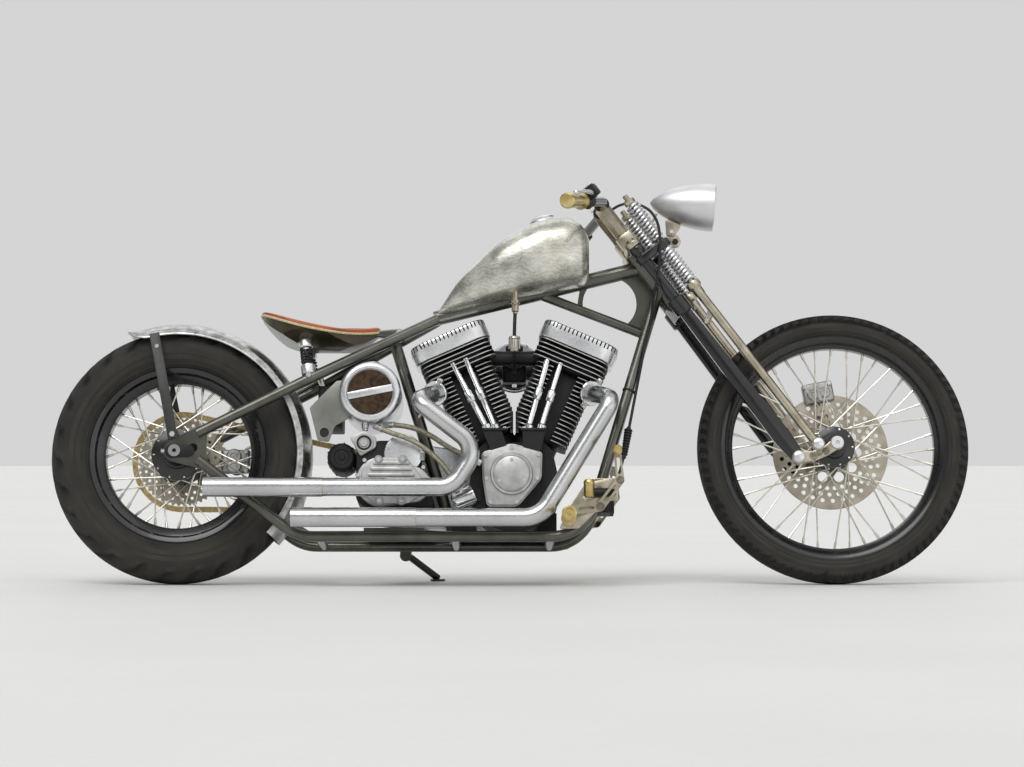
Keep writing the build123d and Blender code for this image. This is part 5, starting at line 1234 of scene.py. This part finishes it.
# round oil tank with a dark inset and a plain band across it
oilTank = {"axis": (483, 0, 470), "band": (113, 4, 18, -11), "stubs": ((393, 383, 9), (383, 377, 7))}
drum = bmesh.new()
x, y, z = oilTank["axis"]
put(drum, lathe([(-108, 0), (-108, 60), (-110, 62), (-110, 70), (-106, 75), (-100, 77), (100, 77), (106, 76),
                 (111, 72), (113, 68), (113, 62), (111, 59), (107, 58), (107, 0)], 96), at(x, y, z) @ sideOn)
put(drum, tinted(lathe([(106, 56.5), (109.5, 56.5), (110.5, 55), (110.5, 0)], 72), 1), at(x, y, z) @ sideOn)
long, thick, tall, tilt = oilTank["band"]
put(drum, block(long, thick, tall, 1.2), at(x, -110.8, z) @ turnBy(tilt, "Y"))
for top, foot, radius in oilTank["stubs"]:  # drain and outlet stubs under the drum
    put(drum, rod(radius, top - foot + 4, 20), at(470, -70, foot))
put(drum, lathe([(0, 16), (14, 16), (16, 20), (26, 20), (29, 16), (29, 0)], 36), at(x, 40, 540))
show("oil_tank_drum", drum, [polishedAluminium, agedBronze], ["oil_tank"])
print("oil tank and primary made")

# forward controls: bracket plates, slotted arms, brass pegs and caps, brake master cylinder
controls = {"plate": ((952, 124), (1000, 124), (1062, 186), (1102, 236), (1078, 250), (1016, 236),
                      (974, 172)), "arm": ((985, 166, 12), (1052, 174, 11), (1102, 240, 10), (1095, 312, 9)),
            "holes": ((1020, 200, 9), (1052, 222, 7), (1002, 166, 6), (984, 142, 5)), "peg": (974, 141),
            "bolts": ((1088, 238), (966, 136), (1026, 224)), "reservoir": (1026, -157)}
pivot, pedal = controls["arm"][0][:2], controls["arm"][-1][:2]
plates, brass = bmesh.new(), bmesh.new()
for side in (1, -1):
    # local z 134 to 142 lies outward on either side
    face = sideOn if side < 0 else sideOn @ mirrored
    holes = bmesh.new()
    for x, z, r in controls["holes"]:
        put(holes, rod(r, 30, 20, 0), at(x, z, 125))
    put(plates, carve(cutPlate(controls["plate"], 134, 142, 6, 1.4), holes), face)
    for a, b in zip(controls["arm"], controls["arm"][1:]):
        near, far = Vector(a).lerp(Vector(b), 0.27), Vector(a).lerp(Vector(b), 0.73)
        slit = hullPlate(((near.x, near.y, 4.2), (far.x, far.y, 4.2)), 160, 190, 0)
        put(plates, carve(hullPlate((a, b), 170, 178, 0), slit), face)
    put(plates, rod(9, 30, 24), face @ at(*pivot, 142))
    put(plates, bolt(9, 6, 12), face @ at(*pivot, 178))
    put(plates, rod(13, 94, 28), face @ at(1045, 206, 40))
    put(plates, rod(9, 59, 24), face @ at(*controls["peg"], 141))
    for x, z in controls["bolts"]:
        put(plates, bolt(5.5, 5, 12), face @ at(x, z, 142))
    ribs = [(204 + k * 20 + d, r) for k in range(6) for d, r in ((0, 15), (2, 18), (9, 18), (11, 15))]
    tip = [(322, 15), (324, 18), (330, 18), (332, 15), (332, 11), (329, 10), (329, 6), (332, 5), (332, 0)]
    put(brass, lathe([(200, 0), (200, 12), (202, 14)] + ribs + tip, 40), face @ at(*controls["peg"], 0))
    put(brass, lathe([(178.3, 0), (178.3, 9), (182, 11), (188, 11), (190, 9.5), (204, 9.5), (206, 11),
                      (211, 11), (214, 8), (214, 0)], 32), face @ at(*pedal, 0))
put(brass, lathe([(200, 0), (200, 11), (204, 13), (230, 13), (232, 14), (238, 14), (243, 11), (245, 6),
                  (245, 0)], 32), at(*controls["reservoir"], 0))
put(plates, cutPlate(((1026, 250), (1096, 250), (1098, 194), (1040, 194)), 128, 134, 3, 1), sideOn)
put(plates, tinted(lathe([(0, 0), (0, 10), (3, 11), (44, 11), (46, 9), (58, 9), (60, 6), (62, 5), (62, 0)],
                         28), 1), along((1030, -153.5, 212), (1092, -153.5, 212)))
show("control_plates", plates, [satinNickel, blackCast], ["forward_controls"])
show("brass_pegs", brass, turnedBrass, ["control_brass"])
print("foot controls made")

# electrics: battery box with its bent side plate, ribbed regulator on the downtubes
electrics = {"battery": (382, 0, 440), "regulator": (1066, 0, 206), "fins": 9, "hole": (368, 372, 12),
             "plate": ((331, 435), (398, 503), (424, 503), (430, 408), (394, 388), (380, 348), (352, 352))}
power = bmesh.new()
put(power, block(60, 148, 102, 4, 3), at(*electrics["battery"]))
x, z, r = electrics["hole"]
hole = bmesh.new()
put(hole, rod(r, 20, 28, 0), at(x, z, 66))
put(power, tinted(carve(cutPlate(electrics["plate"], 75.5, 80, 5, 1.0), hole), 1), sideOn)
put(power, tinted(rod(r - 0.4, 3, 24), 2), at(x, -74, z) @ sideOn)
regulator = at(*electrics["regulator"])
put(power, block(34, 92, 60, 3), regulator)
for k in range(electrics["fins"]):
    put(power, block(10, 5, 60, 1), regulator @ at(20, -40 + k * 10, 0))
for y in (-30, 30):
    put(power, tinted(bolt(5, 4), 1), regulator @ at(17, y, 0) @ turnBy(90, "Y"))
show("battery_regulator", power, [blackCast, plateGrey, blackRubberAndSlotShade], ["electrics"])

# brake calipers: machined two-piston bodies with bridge bolts
calipers = {"rear": {"reach": 136, "turn": 90, "size": (60, 74), "across": (71, 103), "slot": (88, 18)},
            "front": {"reach": 154, "turn": -11, "size": (78, 54), "across": (44, 74), "slot": (58, 20)}}


def caliperBody(caliper):
    (long, tall), (inner, outer), (mid, deep) = (caliper[key] for key in ("size", "across", "slot"))
    body = block(long, outer - inner, tall, 7, 3)
    gap = block(long + 4, 11, deep * 2, 0)
    bmesh.ops.translate(body, vec=(0, (inner + outer) / 2, 0), verts=body.verts)
    bmesh.ops.translate(gap, vec=(0, mid, -tall / 2), verts=gap.verts)
    made = bmesh.new()
    put(made, carve(body, gap))
    outside = [(0, 0.28), (2, 0.28), (3, 0.25), (3, 0.1), (2, 0.08), (2, 0)]
    inside = [(0, 0.26), (4, 0.26), (6, 0.22), (6, 0.12), (4, 0.1), (4, 0)]
    for side in (-1, 1):
        x, edge = side * long / 5, side * long * 0.4
        put(made, lathe([(z, tall * r) for z, r in outside], 32), at(x, outer, 0) @ leftOn)
        put(made, lathe([(z, tall * r) for z, r in inside], 32), at(x, inner, -tall * 0.06) @ sideOn)
        put(made, tinted(bolt(5, 6, 12), 1), at(edge, outer, tall * 0.36) @ leftOn @ at(0, 0, -4))
        put(made, tinted(bolt(6, 5), 1), at(edge, inner, tall * 0.34) @ sideOn)
    put(made, block(long * 0.14, 8, tall * 0.8, 2), at(0, inner - 1, 0))
    return made


rearBody, frontBody = (caliperBody(caliper) for caliper in calipers.values())
put(rearBody, hullPlate(((-30, 0, 11), (-60, 10, 9), (-60, -6, 9)), 100, 106.7, 1.2),
    turnBy(-90, "Y") @ sideOn @ mirrored)
show("rear_brake_caliper", rearBody, [castAluminium, polishedAluminium], ["rear_caliper"],
     place=rearAxle @ turnBy(calipers["rear"]["turn"], "Y") @ at(0, 0, calipers["rear"]["reach"]))
arm = hullPlate(((0, 0, 27), (-28, 134, 16)), 66, 72, 1.2)
bore = bmesh.new()
put(bore, rod(16.5, 40, 32, 0), at(0, 0, 50))
onAxle = turnBy(calipers["front"]["turn"], "Y") @ at(0, 0, calipers["front"]["reach"])
put(frontBody, carve(arm, bore), onAxle.inverted() @ sideOn @ mirrored)
show("front_brake_caliper", frontBody, [castAluminium, polishedAluminium], ["front_caliper"], "fork",
     frontAxle @ onAxle)

# adjuster plates and bolts at the ends of the rear axle
axles = bmesh.new()
for side in (1, -1):
    put(axles, tinted(hullPlate(((-8, axleHeight, 17), (34, axleHeight, 15)), 117, 122, 1.5), 1),
        sideOn if side < 0 else sideOn @ mirrored)
    put(axles, bolt(6, 22), at(-34, side * 112, axleHeight) @ turnBy(90, "Y"))
show("axle_adjusters", axles, [polishedAluminium, blackCast])
print("calipers and electrics made")

# the CAD nodes that show keep their shape and get their finish
finishes = {framePaint: ("frame_backbone", "frame_cradle_right", "frame_cradle_left", "frame_stays",
                         "frame_crossmembers"), panPaint: ("seat_pan",), pipeSteel: ("exhaust_pipes",),
            blackCast: ("crankcase",), blackPaint: ("handlebar", "side_stand"),
            chromePlate: ("rear_axle", "front_axle")}
for material, names in finishes.items():
    for name in names:
        surface = bpy.data.objects[name].data
        surface.materials.clear()
        surface.materials.append(material)
print("nodes finished")
